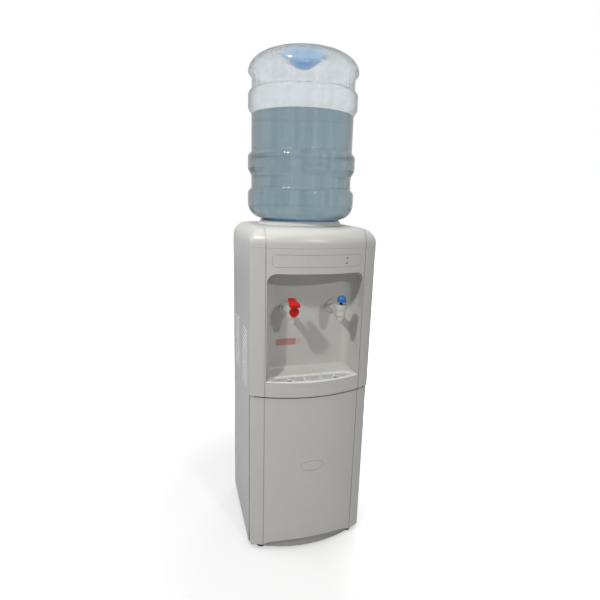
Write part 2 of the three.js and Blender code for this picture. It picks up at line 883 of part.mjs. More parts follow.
function tankShelf() {
  const half = insideX - fit;
  const plate = block(-half, half, shelfFrontY, shelfRearY, shelfZ, shelfZ + shelfThickness);
  const flanges = pairOfBlocks(
    half - sheet,
    half,
    shelfFrontY,
    shelfRearY,
    shelfZ,
    shelfZ + shelfFlange,
  );
  const clear = halfWidth - louvreLean - fit;
  const front = block(-clear, clear, shelfFrontY, shelfFrontY + sheet, shelfZ - shelfFlange, shelfZ + sheet);
  return cut(join(plate, flanges, front), hotHoseRoute(hoseRadius + fit), feedHoseRoute(hoseRadius + fit));
}

// Upper front panel: bowed skin, recess for the taps and a pocket for the drip tray.
function bayForm(grow, front) {
  const half = bayHalfWidth + grow;
  const back = bayBackY + grow;
  const radius = bayBackRadius + grow;
  const plan = [
    [-half, front],
    [half, front],
    ...arc(half - radius, back - radius, radius, 0, Math.PI / 2, 5),
    ...arc(radius - half, back - radius, radius, Math.PI / 2, Math.PI, 5),
  ];
  const low = bayZ - grow;
  const high = bayTop + grow;
  const top = bayTopRadius + grow;
  const sweep = baySweep + grow;
  const side = [
    [front, low],
    ...arc(back - sweep, low + sweep, sweep, -Math.PI / 2, 0, 4),
    ...arc(back - top / 2, high - top / 2, top / 2, 0, Math.PI / 2, 3),
    [front, high],
  ];
  const face = [
    [half, low],
    ...arc(half - top, high - top, top, 0, Math.PI / 2, 4),
    ...arc(top - half, high - top, top, Math.PI / 2, Math.PI, 4),
    [-half, low],
  ];
  const body = prism(plan, low, high).intersect(prismX(side, -half - reach, half + reach));
  return body.intersect(prismY(face, front - reach, back + reach));
}

// Plan of the tray: the bow in front and a rounded back, set in all round.
function trayForm(inset, low, high) {
  const half = trayHalfWidth - inset;
  const back = trayBackY - inset;
  const radius = trayBackRadius - inset;
  const plan = [
    [-half, -bodyDepth],
    [half, -bodyDepth],
    ...arc(half - radius, back - radius, radius, 0, Math.PI / 2, 5),
    ...arc(radius - half, back - radius, radius, Math.PI / 2, Math.PI, 5),
  ];
  return prism(plan, low, high).intersect(prism(bodyPlan(inset), low, high));
}

const rimZ = bayZ - trayRim; // underside of the tray's rim
const trayBottom = rimZ - trayDepth;

// The finger lip under the front of the rim is thickest in the middle.
function lipForm(gap, low, high) {
  const count = 8;
  const half = lipHalfWidth + gap;
  const front = [];
  const rear = [];
  for (let i = 0; i <= count; i += 1) {
    const u = (2 * i) / count - 1;
    const x = u * half;
    front.push([x, bowY(x, -gap)]);
    rear.push([x, bowY(x) + gap + lipReach * (1 - u * u) + fit / 2]);
  }
  return prism([...front, ...rear.reverse()], low, high);
}

function frontPanel() {
  const shell = skin(0, wall, panelBottom, panelTop);
  const thick = skin(wall / 2, wall + lipReach + fit, rimZ - 2 * lipHeight, bayZ);
  const brow = thick.intersect(block(-lipHalfWidth - wall, lipHalfWidth + wall, -bodyDepth, 0, 0, coverTop));
  const inBody = prism(bodyPlan(wall / 2), 0, coverTop);
  const bayShell = bayForm(wall, -bodyDepth).intersect(inBody);
  const pocketShell = join(
    trayForm(-wall, rimZ - fit - wall, bayZ),
    trayForm(rimWidth - fit - wall, trayBottom - fit - wall, rimZ),
  ).intersect(inBody);
  const pocket = join(
    trayForm(-fit, rimZ - fit, bayZ + fit),
    trayForm(rimWidth - fit, trayBottom - fit, bayZ),
  );
  const behind = bodyBlock(seamY - fit, bodyDepth, 0, 2 * coverTop);
  const stripCut = skin(-fit, stripDepth, panelBottom, panelTop).intersect(stripOutline(0));
  const holes = [];
  [-tapX, tapX].forEach((x) => {
    holes.push(rodY(barrelRadius + fit, bayBackY - reach / 4, bayBackY + reach, smallTurns, x, tapZ));
  });
  [-1, 1].forEach((way) => {
    const z = lightZ + (way * lightSpacing) / 2;
    holes.push(rodY(lightRadius + fit, -bodyDepth, bowY(lightX) + lightLength, fewTurns, lightX, z));
  });
  const grooveHigh = grooves(0, panelBottom, panelTop);
  const lip = lipForm(fit, rimZ - lipHeight - fit, rimZ + fit);
  const body = join(cut(join(shell, brow), behind), bayShell, pocketShell);
  return cut(body, bayForm(0, -bodyDepth), pocket, stripCut, holes, grooveHigh, lip);
}

// Bare strip set into the panel above the recess, with two pilot lights.
const stripZ = panelTop - stripMargin - stripHeight;
const lightZ = stripZ + stripHeight / 2;
const lightX = halfWidth - lightInset;

function stripOutline(inset) {
  const half = halfWidth - stripInset - inset;
  const low = stripZ + inset;
  const high = stripZ + stripHeight - inset;
  return prismY(roundedRectangle(-half, half, low, high, stripRadius - inset, 4), -bodyDepth, 0);
}

function fasciaStrip() {
  const rear = stripDepth - fit;
  const plate = skin(rear - stripThickness, rear, panelBottom, panelTop).intersect(stripOutline(fit));
  const holes = [-1, 1].map((way) => {
    const z = lightZ + (way * lightSpacing) / 2;
    return rodY(lightRadius + fit, -bodyDepth, 0, fewTurns, lightX, z);
  });
  return cut(plate, holes);
}

function light() {
  const half = lightRadius / 2;
  const profile = [[0, 0], [half, 0], [lightRadius, half], [lightRadius, lightLength], [0, lightLength]];
  return turnedY(profile, fewTurns, 0, 0);
}

// Drip tray and its grille.
function dripTray() {
  const rim = trayForm(0, rimZ, bayZ);
  const basin = trayForm(rimWidth, trayBottom, rimZ);
  const hollow = trayForm(rimWidth + trayWall, trayBottom + trayWall, bayZ);
  const ledge = trayForm(rimWidth, bayZ - ledgeDrop - trayWall, bayZ - ledgeDrop);
  const ledgeHole = trayForm(rimWidth + trayWall + ledgeWidth, 0, coverTop);
  const lip = lipForm(0, rimZ - lipHeight, rimZ + trayRim / 2).intersect(prism(bodyPlan(0), 0, coverTop));
  return join(cut(join(rim, basin), hollow), cut(ledge, ledgeHole), lip);
}

function dripGrille() {
  const low = bayZ - ledgeDrop + fit;
  const high = low + grilleThickness;
  const inset = rimWidth + trayWall + fit;
  const plate = trayForm(inset, low, high);
  const open = trayForm(inset + grilleFrame, low - reach, high + reach);
  const bars = pairOfBlocks(
    dividerX - dividerWidth / 2,
    dividerX + dividerWidth / 2,
    -bodyDepth,
    0,
    low - reach,
    high + reach,
  );
  const spurs = pairOfBlocks(
    drainHoleX - dividerWidth / 2,
    drainHoleX + dividerWidth / 2,
    drainHoleY,
    0,
    low - reach,
    high + reach,
  );
  const rings = [-drainHoleX, drainHoleX].map((x) => {
    return rod(drainRingRadius, low - reach, high + reach, 20, x, drainHoleY);
  });
  const cells = cut(open, bars, spurs, rings);
  const slots = [];
  const count = Math.floor(trayHalfWidth / grillePitch);
  for (let i = -count; i <= count; i += 1) {
    const x = i * grillePitch;
    slots.push(block(x - grilleSlot / 2, x + grilleSlot / 2, -bodyDepth, 0, low - reach, high + reach));
  }
  const holes = [-drainHoleX, drainHoleX].map((x) => {
    return rod(drainHoleRadius, low - reach, high + reach, 20, x, drainHoleY);
  });
  return cut(plate, join(slots).intersect(cells), holes);
}

// Top cover: a shell with large soft edges that carries the bottle seat.
function coverRing(z, inset, inwards) {
  const corner = cornerRadius + coverCornerGrowth * inset;
  const rearInset = inset * coverRearShare + inwards;
  const half = halfWidth - inset - inwards;
  const radius = bowRadius - inset - inwards;
  const plan = bowedPlan(half, radius, corner - Math.min(inwards, corner / 2), rearY - rearInset, corner / 2);
  return plan.map(([x, y]) => [x, y, z]);
}

function coverForm(inwards, drop) {
  const rise = coverHeight - coverBand;
  const rings = [coverRing(coverBottom - drop, 0, inwards)];
  const count = 4;
  for (let i = 0; i <= count; i += 1) {
    const a = (Math.PI / 2) * (i / count);
    const z = coverBottom + coverBand + (rise - inwards) * Math.sin(a);
    rings.push(coverRing(z, coverRounding * (1 - Math.cos(a)), inwards));
  }
  return loft(rings);
}

function topCover() {
  const shell = cut(coverForm(0, 0), coverForm(coverWall, reach));
  const lipFit = prism(bodyPlan(wall + fit), coverBottom - coverLip, coverBottom + coverBand);
  const lipInner = prism(bodyPlan(2 * wall + fit), 0, coverTop);
  const lip = cut(lipFit, lipInner, bodyBlock(panRear - reach, bodyDepth, 0, coverTop));
  const hole = rod(seatRingRadius + fit, 0, coverTop + reach, turns, 0, bottleY);
  const rind = cut(coverForm(-fit, 0), coverForm(grooveDepth, reach));
  const groove = rind.intersect(grooveSlabs(bottleY - seatRadius));
  return cut(join(shell, lip), hole, groove);
}

// Bottle, cap and water.
const slope = THREE.MathUtils.degToRad(shoulderSlopeDeg);
const shoulderX = bottleRadius - shoulderRadius;
const shoulderZ = coneZ(shoulderX) + shoulderRadius / Math.cos(slope);

// Height of the bottle's shoulder cone at a radius.
function coneZ(r) {
  return mouthZ + neckHeight + (r - neckRadius) * Math.tan(slope);
}

function bottleProfile() {
  const top = mouthZ + bottleHeight;
  const hoops = hoopShares.map(([share, out]) => {
    return [out ? bottleRadius : bottleWaist, mouthZ + bottleHeight * share];
  });
  const crown = arc(0, 0, 1, 0, Math.PI / 2, 5).map(([u, v]) => {
    return [bottleRadius - crownReach * (1 - u), top - crownHeight * (1 - v)];
  });
  return [
    [neckRadius, mouthZ],
    [neckRadius, mouthZ + neckHeight],
    ...arc(shoulderX, shoulderZ, shoulderRadius, slope - Math.PI / 2, 0, 3),
    ...hoops,
    ...crown,
    ...puntShares.map(([across, deep]) => [puntRadius * across, top - puntDepth * deep]),
  ];
}

// The bottle's outline moved inwards, ending on its axis.
function innerProfile(distance) {
  const inner = offsetProfile(bottleProfile(), distance);
  inner.at(-1)[0] = 0;
  return inner;
}

function bottle() {
  return turned([...innerProfile(bottleWall).reverse(), ...bottleProfile()], turns, 0, bottleY);
}

function bottleCap() {
  const low = mouthZ - fit - capWall;
  const inner = neckRadius + fit;
  const sleeve = capSleeveRadius + capSleeveWall;
  return turned(
    [
      [capSleeveRadius, low],
      [inner + capWall, low],
      [inner + capWall, low + capHeight],
      [inner, low + capHeight],
      [inner, mouthZ - fit],
      [sleeve, mouthZ - fit],
      [sleeve, mouthZ + capSleeveHeight],
      [capSleeveRadius, mouthZ + capSleeveHeight],
    ],
    turns,
    0,
    bottleY,
  );
}

function water() {
  const low = mouthZ + fit;
  const filled = turned([[0, mouthZ], ...innerProfile(bottleWall + fit)], turns, 0, bottleY);
  const level = rod(2 * bottleRadius, low, waterTop, 12, 0, bottleY);
  const core = rod(capSleeveRadius + capSleeveWall + fit, 0, probeTop + seatWall, 16, 0, bottleY);
  return cut(filled.intersect(level), core);
}

// Seat: a funnel that carries the bottle's shoulder, with a well for its neck.
const wellZ = coverTop - wellDepth;
const probeTop = wellZ + seatWall + fit + probeRise;

function bottleSeat() {
  const under = fit + seatWall / Math.cos(slope);
  const inside = seatRingRadius - seatWall;
  const outside = wellRadius + seatWall;
  const low = coverTop - seatRingDrop;
  return turned(
    [
      [probeRadius + fit, wellZ],
      [outside, wellZ],
      [outside, coneZ(outside) - under],
      [inside, coneZ(inside) - under],
      [inside, low],
      [seatRingRadius, low],
      [seatRingRadius, coverTop + fit],
      [seatRadius, coverTop + fit],
      [seatRadius, coverTop + fit + seatWall / 2],
      [seatTopRadius, coneZ(seatContactRadius) - fit],
      [seatContactRadius, coneZ(seatContactRadius) - fit],
      [wellRadius, coneZ(wellRadius) - fit],
      [wellRadius, wellZ + seatWall],
      [probeRadius + fit, wellZ + seatWall],
    ],
    turns,
    0,
    bottleY,
  );
}

// Probe: a hollow spike that opens the bottle's cap and lets the water down.
function feedProbe() {
  const flangeZ = wellZ + seatWall + fit;
  const outer = turned(
    [
      [0, wellZ - probeTail],
      [probeRadius, wellZ - probeTail],
      [probeRadius, flangeZ],
      [probeFlange, flangeZ],
      [probeFlange, flangeZ + probeFlangeThickness],
      [probeRadius, flangeZ + probeFlangeThickness],
      [probeRadius, probeTop - probeTip],
      [probeBore / 2, probeTop],
      [0, probeTop],
    ],
    smallTurns,
    0,
    bottleY,
  );
  const windowZ = probeTop - probeTip - probeBore;
  const bore = rod(probeBore, 0, probeTop - probeTip, 10, 0, bottleY);
  return cut(outer, bore, rodX(probeBore / 2, -bodyWidth, bodyWidth, fewTurns, bottleY, windowZ));
}

// Cold tank, its foam jacket, and the cooler behind it.
const tankTop = tankBottom + tankHeight;

function coldTank() {
  return turned(
    [
      [0, tankBottom],
      [tankRadius, tankBottom],
      [tankRadius, tankTop],
      [tankMouth, tankTop],
      [tankMouth, tankTop - tankWall],
      [tankRadius - tankWall, tankTop - tankWall],
      [tankRadius - tankWall, tankBottom + tankWall],
      [0, tankBottom + tankWall],
    ],
    tankTurns,
    0,
    bottleY,
  );
}

function coldJacket() {
  const inner = tankRadius + fit;
  const outer = inner + jacketThickness;
  const low = tankBottom - fit - jacketFloor;
  const high = tankTop - tankWall;
  const shell = turned(
    [[0, low], [outer, low], [outer, high], [inner, high], [inner, tankBottom - fit], [0, tankBottom - fit]],
    tankTurns,
    0,
    bottleY,
  );
  const half = coolerWidth / 2 + fit;
  const blockGap = block(-half, half, bottleY + tankRadius / 2, rearY, coolerZ - half, coolerZ + half);
  const wide = sinkWidth / 2 + fit;
  const sinkGap = block(-wide, wide, coolerRear, rearY, coolerZ - wide, coolerZ + wide);
  const hoses = [hotHoseRoute, coldHoseRoute, feedHoseRoute].map((route) => route(hoseRadius + fit));
  return cut(shell, blockGap, sinkGap, hoses);
}

function coldBlock() {
  const half = coolerWidth / 2;
  const solidBlock = block(-half, half, bottleY + tankRadius / 2, coolerRear, coolerZ - half, coolerZ + half);
  return cut(solidBlock, rod(tankRadius + fit, tankBottom, tankTop, 2 * tankTurns, 0, bottleY));
}

function heatSink() {
  const front = coolerRear + fit;
  const half = sinkWidth / 2;
  const outline = [[-half, front], [half, front]];
  const pitch = (sinkWidth - finThickness) / (finCount - 1);
  for (let i = finCount - 1; i >= 0; i -= 1) {
    const x = -half + i * pitch;
    outline.push([x + finThickness, front + sinkBase], [x + finThickness, front + sinkDepth]);
    outline.push([x, front + sinkDepth], [x, front + sinkBase]);
  }
  const tidy = outline.filter(([x, y], i) => i < 2 || Math.abs(x) < half || y > front + sinkBase);
  return prism(tidy, coolerZ - half, coolerZ + half);
}

// Fan: a square frame with a hub on struts, and a rotor on its spindle.
const fanFront = coolerRear + fit + sinkDepth + fit;
const fanRear = fanFront + fanDepth;

function fanFrame() {
  const half = fanWidth / 2;
  const square = roundedRectangle(-half, half, coolerZ - half, coolerZ + half, fanWall, 2);
  const frame = cut(prismY(square, fanFront, fanRear), rodY(fanBore, 0, rearY, turns, 0, coolerZ));
  const strutFront = fanRear - strutThickness;
  const [long, thin] = [fanBore + fit, strutWidth / 2];
  const bars = join(
    block(-long, long, strutFront, fanRear, coolerZ - thin, coolerZ + thin),
    block(-thin, thin, strutFront, fanRear, coolerZ - long, coolerZ + long),
    rodY(hubRadius, strutFront, fanRear, smallTurns, 0, coolerZ),
    rodY(spindleRadius, strutFront - hubDepth, fanRear, 10, 0, coolerZ),
  );
  return join(frame, bars);
}

function fanRotor() {
  const rear = fanRear - strutThickness - 2 * fit;
  const front = rear - hubDepth;
  const hub = rodY(hubRadius, front, rear, smallTurns, 0, 0);
  const middle = (front + rear) / 2;
  const blades = [];
  for (let i = 0; i < bladeCount; i += 1) {
    const blade = new THREE.BoxGeometry(hubDepth, bladeThickness, bladeRadius - hubRadius + wall);
    blade.translate(0, 0, (bladeRadius + hubRadius - wall) / 2);
    blade.rotateZ(THREE.MathUtils.degToRad(bladePitchDeg));
    blade.rotateY((2 * Math.PI * i) / bladeCount);
    blades.push(solid(blade.translate(0, middle, 0)));
  }
  return cut(join(hub, blades), rodY(spindleRadius + spindlePlay, 0, rearY, 12, 0, 0));
}

// Hot tank on its foot ring, with a band heater and a foam jacket.
const hotTop = hotBottom + hotHeight;

function hotTank() {
  const low = ceilingTop + fit;
  const inner = hotRadius - tankWall;
  return turned(
    [
      [0, hotBottom],
      [footRingRadius - tankWall, hotBottom],
      [footRingRadius - tankWall, low],
      [footRingRadius, low],
      [footRingRadius, hotBottom],
      [hotRadius, hotBottom],
      [hotRadius, hotTop - hotNeckHeight],
      [hotNeck, hotTop],
      [hotNeck, hotTop + hotNeckHeight],
      [hotNeckBore, hotTop + hotNeckHeight],
      [hotNeckBore, hotTop - tankWall],
      [inner, hotTop - hotNeckHeight - tankWall],
      [inner, hotBottom + tankWall],
      [0, hotBottom + tankWall],
    ],
    tankTurns,
    hotX,
    hotY,
  );
}

function heaterBand() {
  const inner = hotRadius + fit;
  const outer = inner + bandThickness;
  const high = bandBottom + bandHeight;
  const ring = [[inner, bandBottom], [outer, bandBottom], [outer, high], [inner, high]];
  return turned(ring, tankTurns, hotX, hotY);
}

function hotTankJacket() {
  const inner = hotRadius + fit + bandThickness + fit;
  const low = hotBottom + hotJacketTrim;
  const high = hotTop - hotNeckHeight - hotJacketTrim;
  const hug = hotRadius + fit;
  const shell = turned(
    [
      [hug, low],
      [inner + hotJacket, low],
      [inner + hotJacket, high],
      [inner, high],
      [inner, low + hotJacketTrim],
      [hug, low + hotJacketTrim],
    ],
    tankTurns,
    hotX,
    hotY,
  );
  return cut(shell, rodY(drainRadius + fit, hotY, rearY, smallTurns, hotX, drainZ));
}

// Hoses between the tanks and the taps.
const tailEnd = bayBackY + wall + tapTail;
const hoseBend = 2 * hoseRadius;

function hotHoseRoute(radius) {
  const start = hotTop + hotNeckHeight + fit;
  const under = (start + shelfZ) / 2;
  const drop = tailEnd + hoseBend + wall;
  return hose(radius, [
    [hotX, hotY, start],
    [hotX, hotY, start + wall],
    [hotX, hotY - hoseBend, under],
    [(hotX - tapX) / 2, drop + hoseBend, under],
    [-tapX, drop + wall, shelfZ + hoseRadius],
    [-tapX, drop, tapZ - hoseBend],
    [-tapX, tailEnd + hoseRadius, tapZ],
    [-tapX, tailEnd + fit, tapZ],
  ]);
}

function coldHoseRoute(radius) {
  const side = Math.SQRT1_2;
  const at = (distance, z) => [side * distance, bottleY - side * distance, z];
  const wallDistance = tankRadius + fit;
  const low = tankBottom + hoseBend + wall;
  return hose(radius, [
    [tapX, tailEnd + fit, tapZ],
    [tapX, tailEnd + hoseRadius, tapZ],
    [tapX, tailEnd + hoseBend + 2 * wall, tapZ - hoseBend],
    at(wallDistance + 2 * hoseBend - wall, low + hoseRadius),
    at(wallDistance + hoseRadius, low),
    at(wallDistance + fit, low),
  ]);
}

function feedHoseRoute(radius) {
  const x = hotX + hotRadius - hoseBend;
  const end = hotTop - hotNeckHeight / 2;
  return hose(radius, [
    [x, bottleY + hoseRadius, tankBottom - fit],
    [x, bottleY + hoseRadius, shelfZ],
    [x - hoseBend, hotY - wall, end + hoseBend],
    [x - hoseBend, hotY - wall, end + wall],
  ]);
}

// Drain: a pipe from the hot tank to the back, closed by a screw cap.
const capRear = rearY - fit;

function drainPipe() {
  const front = hotY + hotRadius + fit;
  const rear = capRear - drainCapWall - fit;
  const ring = [[drainBore, front], [drainRadius, front], [drainRadius, rear], [drainBore, rear]];
  return turnedY(ring, smallTurns, hotX, drainZ);
}

function drainCap() {
  const outline = [];
  for (let i = 0; i < 2 * capRibs; i += 1) {
    const a = (Math.PI * i) / capRibs;
    const r = i % 2 ? drainCapRadius : drainCapRadius - capRibDepth;
    outline.push([r * Math.cos(a), r * Math.sin(a)]);
  }
  const bore = rodY(drainRadius + fit, -bodyDepth, -drainCapWall, smallTurns, 0, 0);
  return cut(prismY(outline, -drainCapDepth, 0), bore);
}

// Twin rocker switches in one housing.
const switchBodyHalf = switchWidth + 1.5 * switchRim;
const switchBodyTall = switchHeight / 2 + switchRim;
const rockerX = (switchWidth + switchRim) / 2;

function switchHousing() {
  const front = backY - switchDepth;
  const rim = backY + fit;
  const rear = rim + switchBezel;
  const across = [switchX - switchBodyHalf, switchX + switchBodyHalf];
  const tall = [switchZ - switchBodyTall, switchZ + switchBodyTall];
  const bezel = roundedRectangle(
    across[0] - switchRim,
    across[1] + switchRim,
    tall[0] - switchRim,
    tall[1] + switchRim,
    switchRim,
    3,
  );
  const pockets = [-rockerX, rockerX].map((x) => {
    return block(
      switchX + x - switchWidth / 2,
      switchX + x + switchWidth / 2,
      front + switchRim,
      rear + reach,
      switchZ - switchHeight / 2,
      switchZ + switchHeight / 2,
    );
  });
  return cut(join(block(...across, front, rear, ...tall), prismY(bezel, rim, rear)), pockets);
}

function rocker() {
  const tall = switchHeight / 2 - 2 * rockerPlay;
  const outline = [
    [rockerNose, -tall],
    [rockerNose - rockerDip, 0],
    [rockerNose, tall],
    [-rockerNose, tall / 2],
    [-rockerNose, -tall / 2],
  ];
  return prismX(outline, -switchWidth / 2 + fit, switchWidth / 2 - fit);
}

function cordGland() {
  const front = backY - glandTail;
  const rim = backY + fit;
  const ring = [
    [glandBore, front],
    [glandBarrel, front],
    [glandBarrel, rim],
    [glandFlange, rim],
    [glandFlange, rim + wall],
    [glandNose, rim + wall],
    [glandNose - wall, capRear],
    [glandBore, capRear],
  ];
  return turnedY(ring, smallTurns, glandX, glandZ);
}

function powerSupply() {
  const low = ceilingTop + fit;
  const [x0, x1] = [supplyX - supplyWidth / 2, supplyX + supplyWidth / 2];
  const [y0, y1] = [supplyY - supplyDepth / 2, supplyY + supplyDepth / 2];
  const box = prism(roundedRectangle(x0, x1, y0, y1, supplyCorner, 3), low, low + supplyHeight);
  const grooveFloor = low + supplyHeight - wall;
  const grooveCuts = [];
  for (let i = 1; i < supplyFins; i += 1) {
    const x = x0 + (supplyWidth * i) / supplyFins;
    grooveCuts.push(block(x, x + wall, y0 + supplyCorner, y1 - supplyCorner, grooveFloor, coverTop));
  }
  return cut(box, grooveCuts);
}

// Taps, each about an origin where the nozzle's axis meets the barrel's.
const tapWall = bayBackY - tapY; // front face of the recess's back wall

function tapBody() {
  const headLow = -chamberFloor - seatThickness;
  const upright = turned(
    [
      [0, -nozzleDrop],
      [nozzleTipRadius, -nozzleDrop],
      [nozzleRadius, headLow - wall],
      [headRadius, headLow + wall / 2],
      [headRadius, headTop],
      [0, headTop],
    ],
    smallTurns,
  );
  const barrel = rodY(barrelRadius, 0, tapWall + wall + tapTail, smallTurns, 0, 0);
  const flangeFront = tapWall - fit - tapFlangeThickness;
  const flange = turnedY(
    [
      [0, flangeFront],
      [tapFlange - tapFlangeThickness / 2, flangeFront],
      [tapFlange, flangeFront + tapFlangeThickness / 2],
      [tapFlange, tapWall - fit],
      [0, tapWall - fit],
    ],
    smallTurns,
    0,
    0,
  );
  return cut(
    join(upright, barrel, flange),
    rod(nozzleBore, -bodyDepth, headLow, fewTurns),
    rod(seatHole, headLow - fit, 0, fewTurns),
    rod(chamberRadius, -chamberFloor, bodyDepth, smallTurns),
    rodY(barrelBore, 0, bodyDepth, fewTurns, 0, 0),
  );
}

function tapNut() {
  const front = tapWall + wall + fit;
  const rear = front + nutThickness;
  const profile = [
    [barrelRadius + fit, front],
    [nutRadius - nutBevel / 2, front],
    [nutRadius, front + nutBevel],
    [nutRadius, rear - nutBevel],
    [nutRadius - nutBevel / 2, rear],
    [barrelRadius + fit, rear],
  ];
  return cut(turnedY(profile, 6, 0, 0), rodY(barrelRadius + fit, 0, bodyDepth, smallTurns, 0, 0));
}

function tapCap() {
  const low = barrelRadius + 2 * fit;
  return turned(
    [
      [headRadius + fit, low],
      [capRadius, low],
      [capRadius, capTop - nutBevel],
      [capRadius - nutBevel, capTop],
      [stemRod + fit, capTop],
      [stemRod + fit, headTop + fit],
      [headRadius + fit, headTop + fit],
    ],
    smallTurns,
  );
}

const plugLow = -chamberFloor + fit;
const plugHigh = plugLow + plugHeight;

function tapStem() {
  return join(
    turned(
      [
        [0, plugLow],
        [plugRadius, plugLow],
        [plugRadius, plugHigh],
        [stemRod, plugHigh],
        [stemRod, stemTop],
        [0, stemTop],
      ],
      smallTurns,
    ),
    rodX(crossPin, -crossPinHalf, crossPinHalf, fewTurns, 0, crossPinZ),
  );
}

function tapSpring() {
  const [low, high] = [plugHigh + fit, headTop];
  const ring = [[springBore, low], [springRadius, low], [springRadius, high], [springBore, high]];
  return turned(ring, smallTurns);
}

// Ears inside a lever that hold it on the stem's cross pin.
const earLow = crossPinZ - crossPin - fit - sheet;

function leverEars(high) {
  const far = crossPinHalf - fit;
  const ears = pairOfBlocks(far - leverEar, far, -stemRod, stemRod, earLow, high);
  const end = crossPinHalf + fit;
  return { ears, bore: rodX(crossPin + fit, -end, end, fewTurns, 0, crossPinZ) };
}

function coldLever() {
  const dome = (shrink) => {
    const quarter = arc(0, 0, 1, 0, Math.PI / 2, 4);
    return quarter.map(([u, v]) => [
      u ** domeFullness * (coldLeverRadius - shrink),
      coldLeverBase + v ** domeFullness * (coldLeverRise - shrink),
    ]);
  };
  const outer = dome(0);
  const shell = turned([...dome(leverWall).reverse(), ...outer], smallTurns, 0, -coldLeverForward);
  const full = turned([[0, earLow], [coldLeverRadius, earLow], ...outer], smallTurns, 0, -coldLeverForward);
  const half = arc(0, 0, 1, Math.PI, 2 * Math.PI, 10).map(([u, v]) => {
    return [u * brimHalfWidth, v * brimReach - coldLeverForward];
  });
  const hollow = rod(coldLeverRadius - leverWall, 0, bodyDepth, smallTurns, 0, -coldLeverForward);
  const brim = cut(prism(half, coldLeverBase, coldLeverBase + brimThickness), hollow);
  const { ears, bore } = leverEars(coldLeverBase + coldLeverRise);
  return cut(join(shell, brim, ears.intersect(full)), bore);
}

function hotLever() {
  const front = hotLeverRear - hotLeverLength;
  const plan = (shrink) => [
    [-hotLeverRearWidth / 2 + shrink, hotLeverRear - shrink],
    [hotLeverRearWidth / 2 - shrink, hotLeverRear - shrink],
    [hotLeverFrontWidth / 2 - shrink, front + shrink],
    [-hotLeverFrontWidth / 2 + shrink, front + shrink],
  ];
  const [near, far] = [front - reach, hotLeverRear + reach];
  const under = (y) => hotLeverBase - ((hotLeverRear - y) * hotLeverDrop) / hotLeverLength;
  const side = (low, high) => [
    [far, under(far) + low],
    [near, under(near) + low],
    [near, under(near) + high],
    [far, under(far) + high],
  ];
  const width = hotLeverFrontWidth;
  const outerSide = prismX(side(-hotLeverSkirt, hotLeverThickness), -width, width);
  const innerSide = prismX(side(-bodyDepth, 0), -width, width);
  const outer = prism(plan(0), 0, bodyDepth).intersect(outerSide);
  const inner = prism(plan(leverWall), -bodyDepth, bodyDepth).intersect(innerSide);
  const { ears, bore } = leverEars(stemTop + wall);
  return cut(join(cut(outer, inner), ears), bore);
}

// Safety latch of the hot tap: a dished disc that hangs from a pin on the tap's cap.
const latchY = -capRadius - crossPin - 2 * fit;

function latchLug() {
  const half = latchEar - fit;
  const [low, high] = [latchPivotZ - latchPin, latchPivotZ + latchPin];
  const arm = block(-half, half, latchY, -headRadius - fit, low, high);
  const stand = block(-half, half, -capRadius, -headRadius - fit, capTop - 2 * nutBevel, high);
  const pin = rodX(latchPin, -latchEar - leverEar, latchEar + leverEar, fewTurns, latchY, latchPivotZ);
  return join(arm, stand, pin);
}

function hotLatch() {
  const rear = latchY + crossPin;
  const front = rear - latchThickness;
  const z = latchPivotZ - latchDrop;
  const disc = cut(
    rodY(latchRadius, front, rear, 14, 0, z),
    rodY(latchRadius - latchRim, front - fit, front + latchDish, 14, 0, z),
    block(-latchEar, latchEar, front - fit, rear + fit, latchPivotZ - 2 * latchPin - fit, bodyDepth),
  );
  const ears = [-1, 1].map((way) => {
    const [a, b] = [way * latchEar, way * (latchEar + leverEar - fit)];
    const [x0, x1] = [Math.min(a, b), Math.max(a, b)];
    const eye = rodX(latchPin + 3 * fit, x0, x1, fewTurns, latchY, latchPivotZ);
    return join(eye, block(x0, x1, front, rear, z + latchRadius / 2, latchPivotZ));
  });
  return cut(join(disc, ears), rodX(latchPin + fit, -bodyDepth, bodyDepth, fewTurns, latchY, latchPivotZ));
}

// Assembly

add('base_pan', basePan(), greyPlastic);
[['front', padFrontY], ['rear', padRearY]].forEach(([row, y]) => {
  [['left', -padX], ['right', padX]].forEach(([side, x]) => {
    add(`foot_${row}_${side}`, foot(), rubber, placed(x, y, 0));
  });
});
add('side_panel_left', sidePanel(-1), whiteSheet);
add('side_panel_right', sidePanel(1), whiteSheet);
add('back_panel', backPanel(), whiteSheet);
add('cabinet_ceiling', cabinetCeiling(), whiteSheet);
add('tank_shelf', tankShelf(), steel);
add('front_panel', frontPanel(), whiteGloss);
add('fascia_strip', fasciaStrip(), whiteGloss);
[['heating_light', 1, amber], ['cooling_light', -1, green]].forEach(([name, way, material]) => {
  const z = lightZ + (way * lightSpacing) / 2;
  add(name, light(), material, placed(lightX, bowY(lightX) - fit, z));
});
add('door', door(), whiteGloss);
add('door_liner', doorLiner(), whiteGloss);
add('door_strike', doorStrike(), steel);
add('door_magnet', doorMagnet(), darkPlastic);
add('hinge_lower', lowerHinge(), steel);
add('hinge_upper', upperHinge(), steel);
add('top_cover', topCover(), whiteGloss);
add('bottle_seat', bottleSeat(), whiteGloss);
add('feed_probe', feedProbe(), whiteGloss);
add('bottle', bottle(), clearBlue);
add('bottle_cap', bottleCap(), capBlue);
add('water', water(), waterBlue);
add('cold_tank', coldTank(), steel);
add('cold_tank_jacket', coldJacket(), foam);
add('cold_block', coldBlock(), aluminium);
add('heat_sink', heatSink(), aluminium);
add('fan_frame', fanFrame(), darkPlastic);
add('fan_rotor', fanRotor(), darkPlastic, placed(0, 0, coolerZ));
add('hot_tank', hotTank(), steel);
add('heater_band', heaterBand(), steel);
add('hot_tank_jacket', hotTankJacket(), foam);
add('hot_hose', hotHoseRoute(hoseRadius), silicone);
add('cold_hose', coldHoseRoute(hoseRadius), silicone);
add('feed_hose', feedHoseRoute(hoseRadius), silicone);
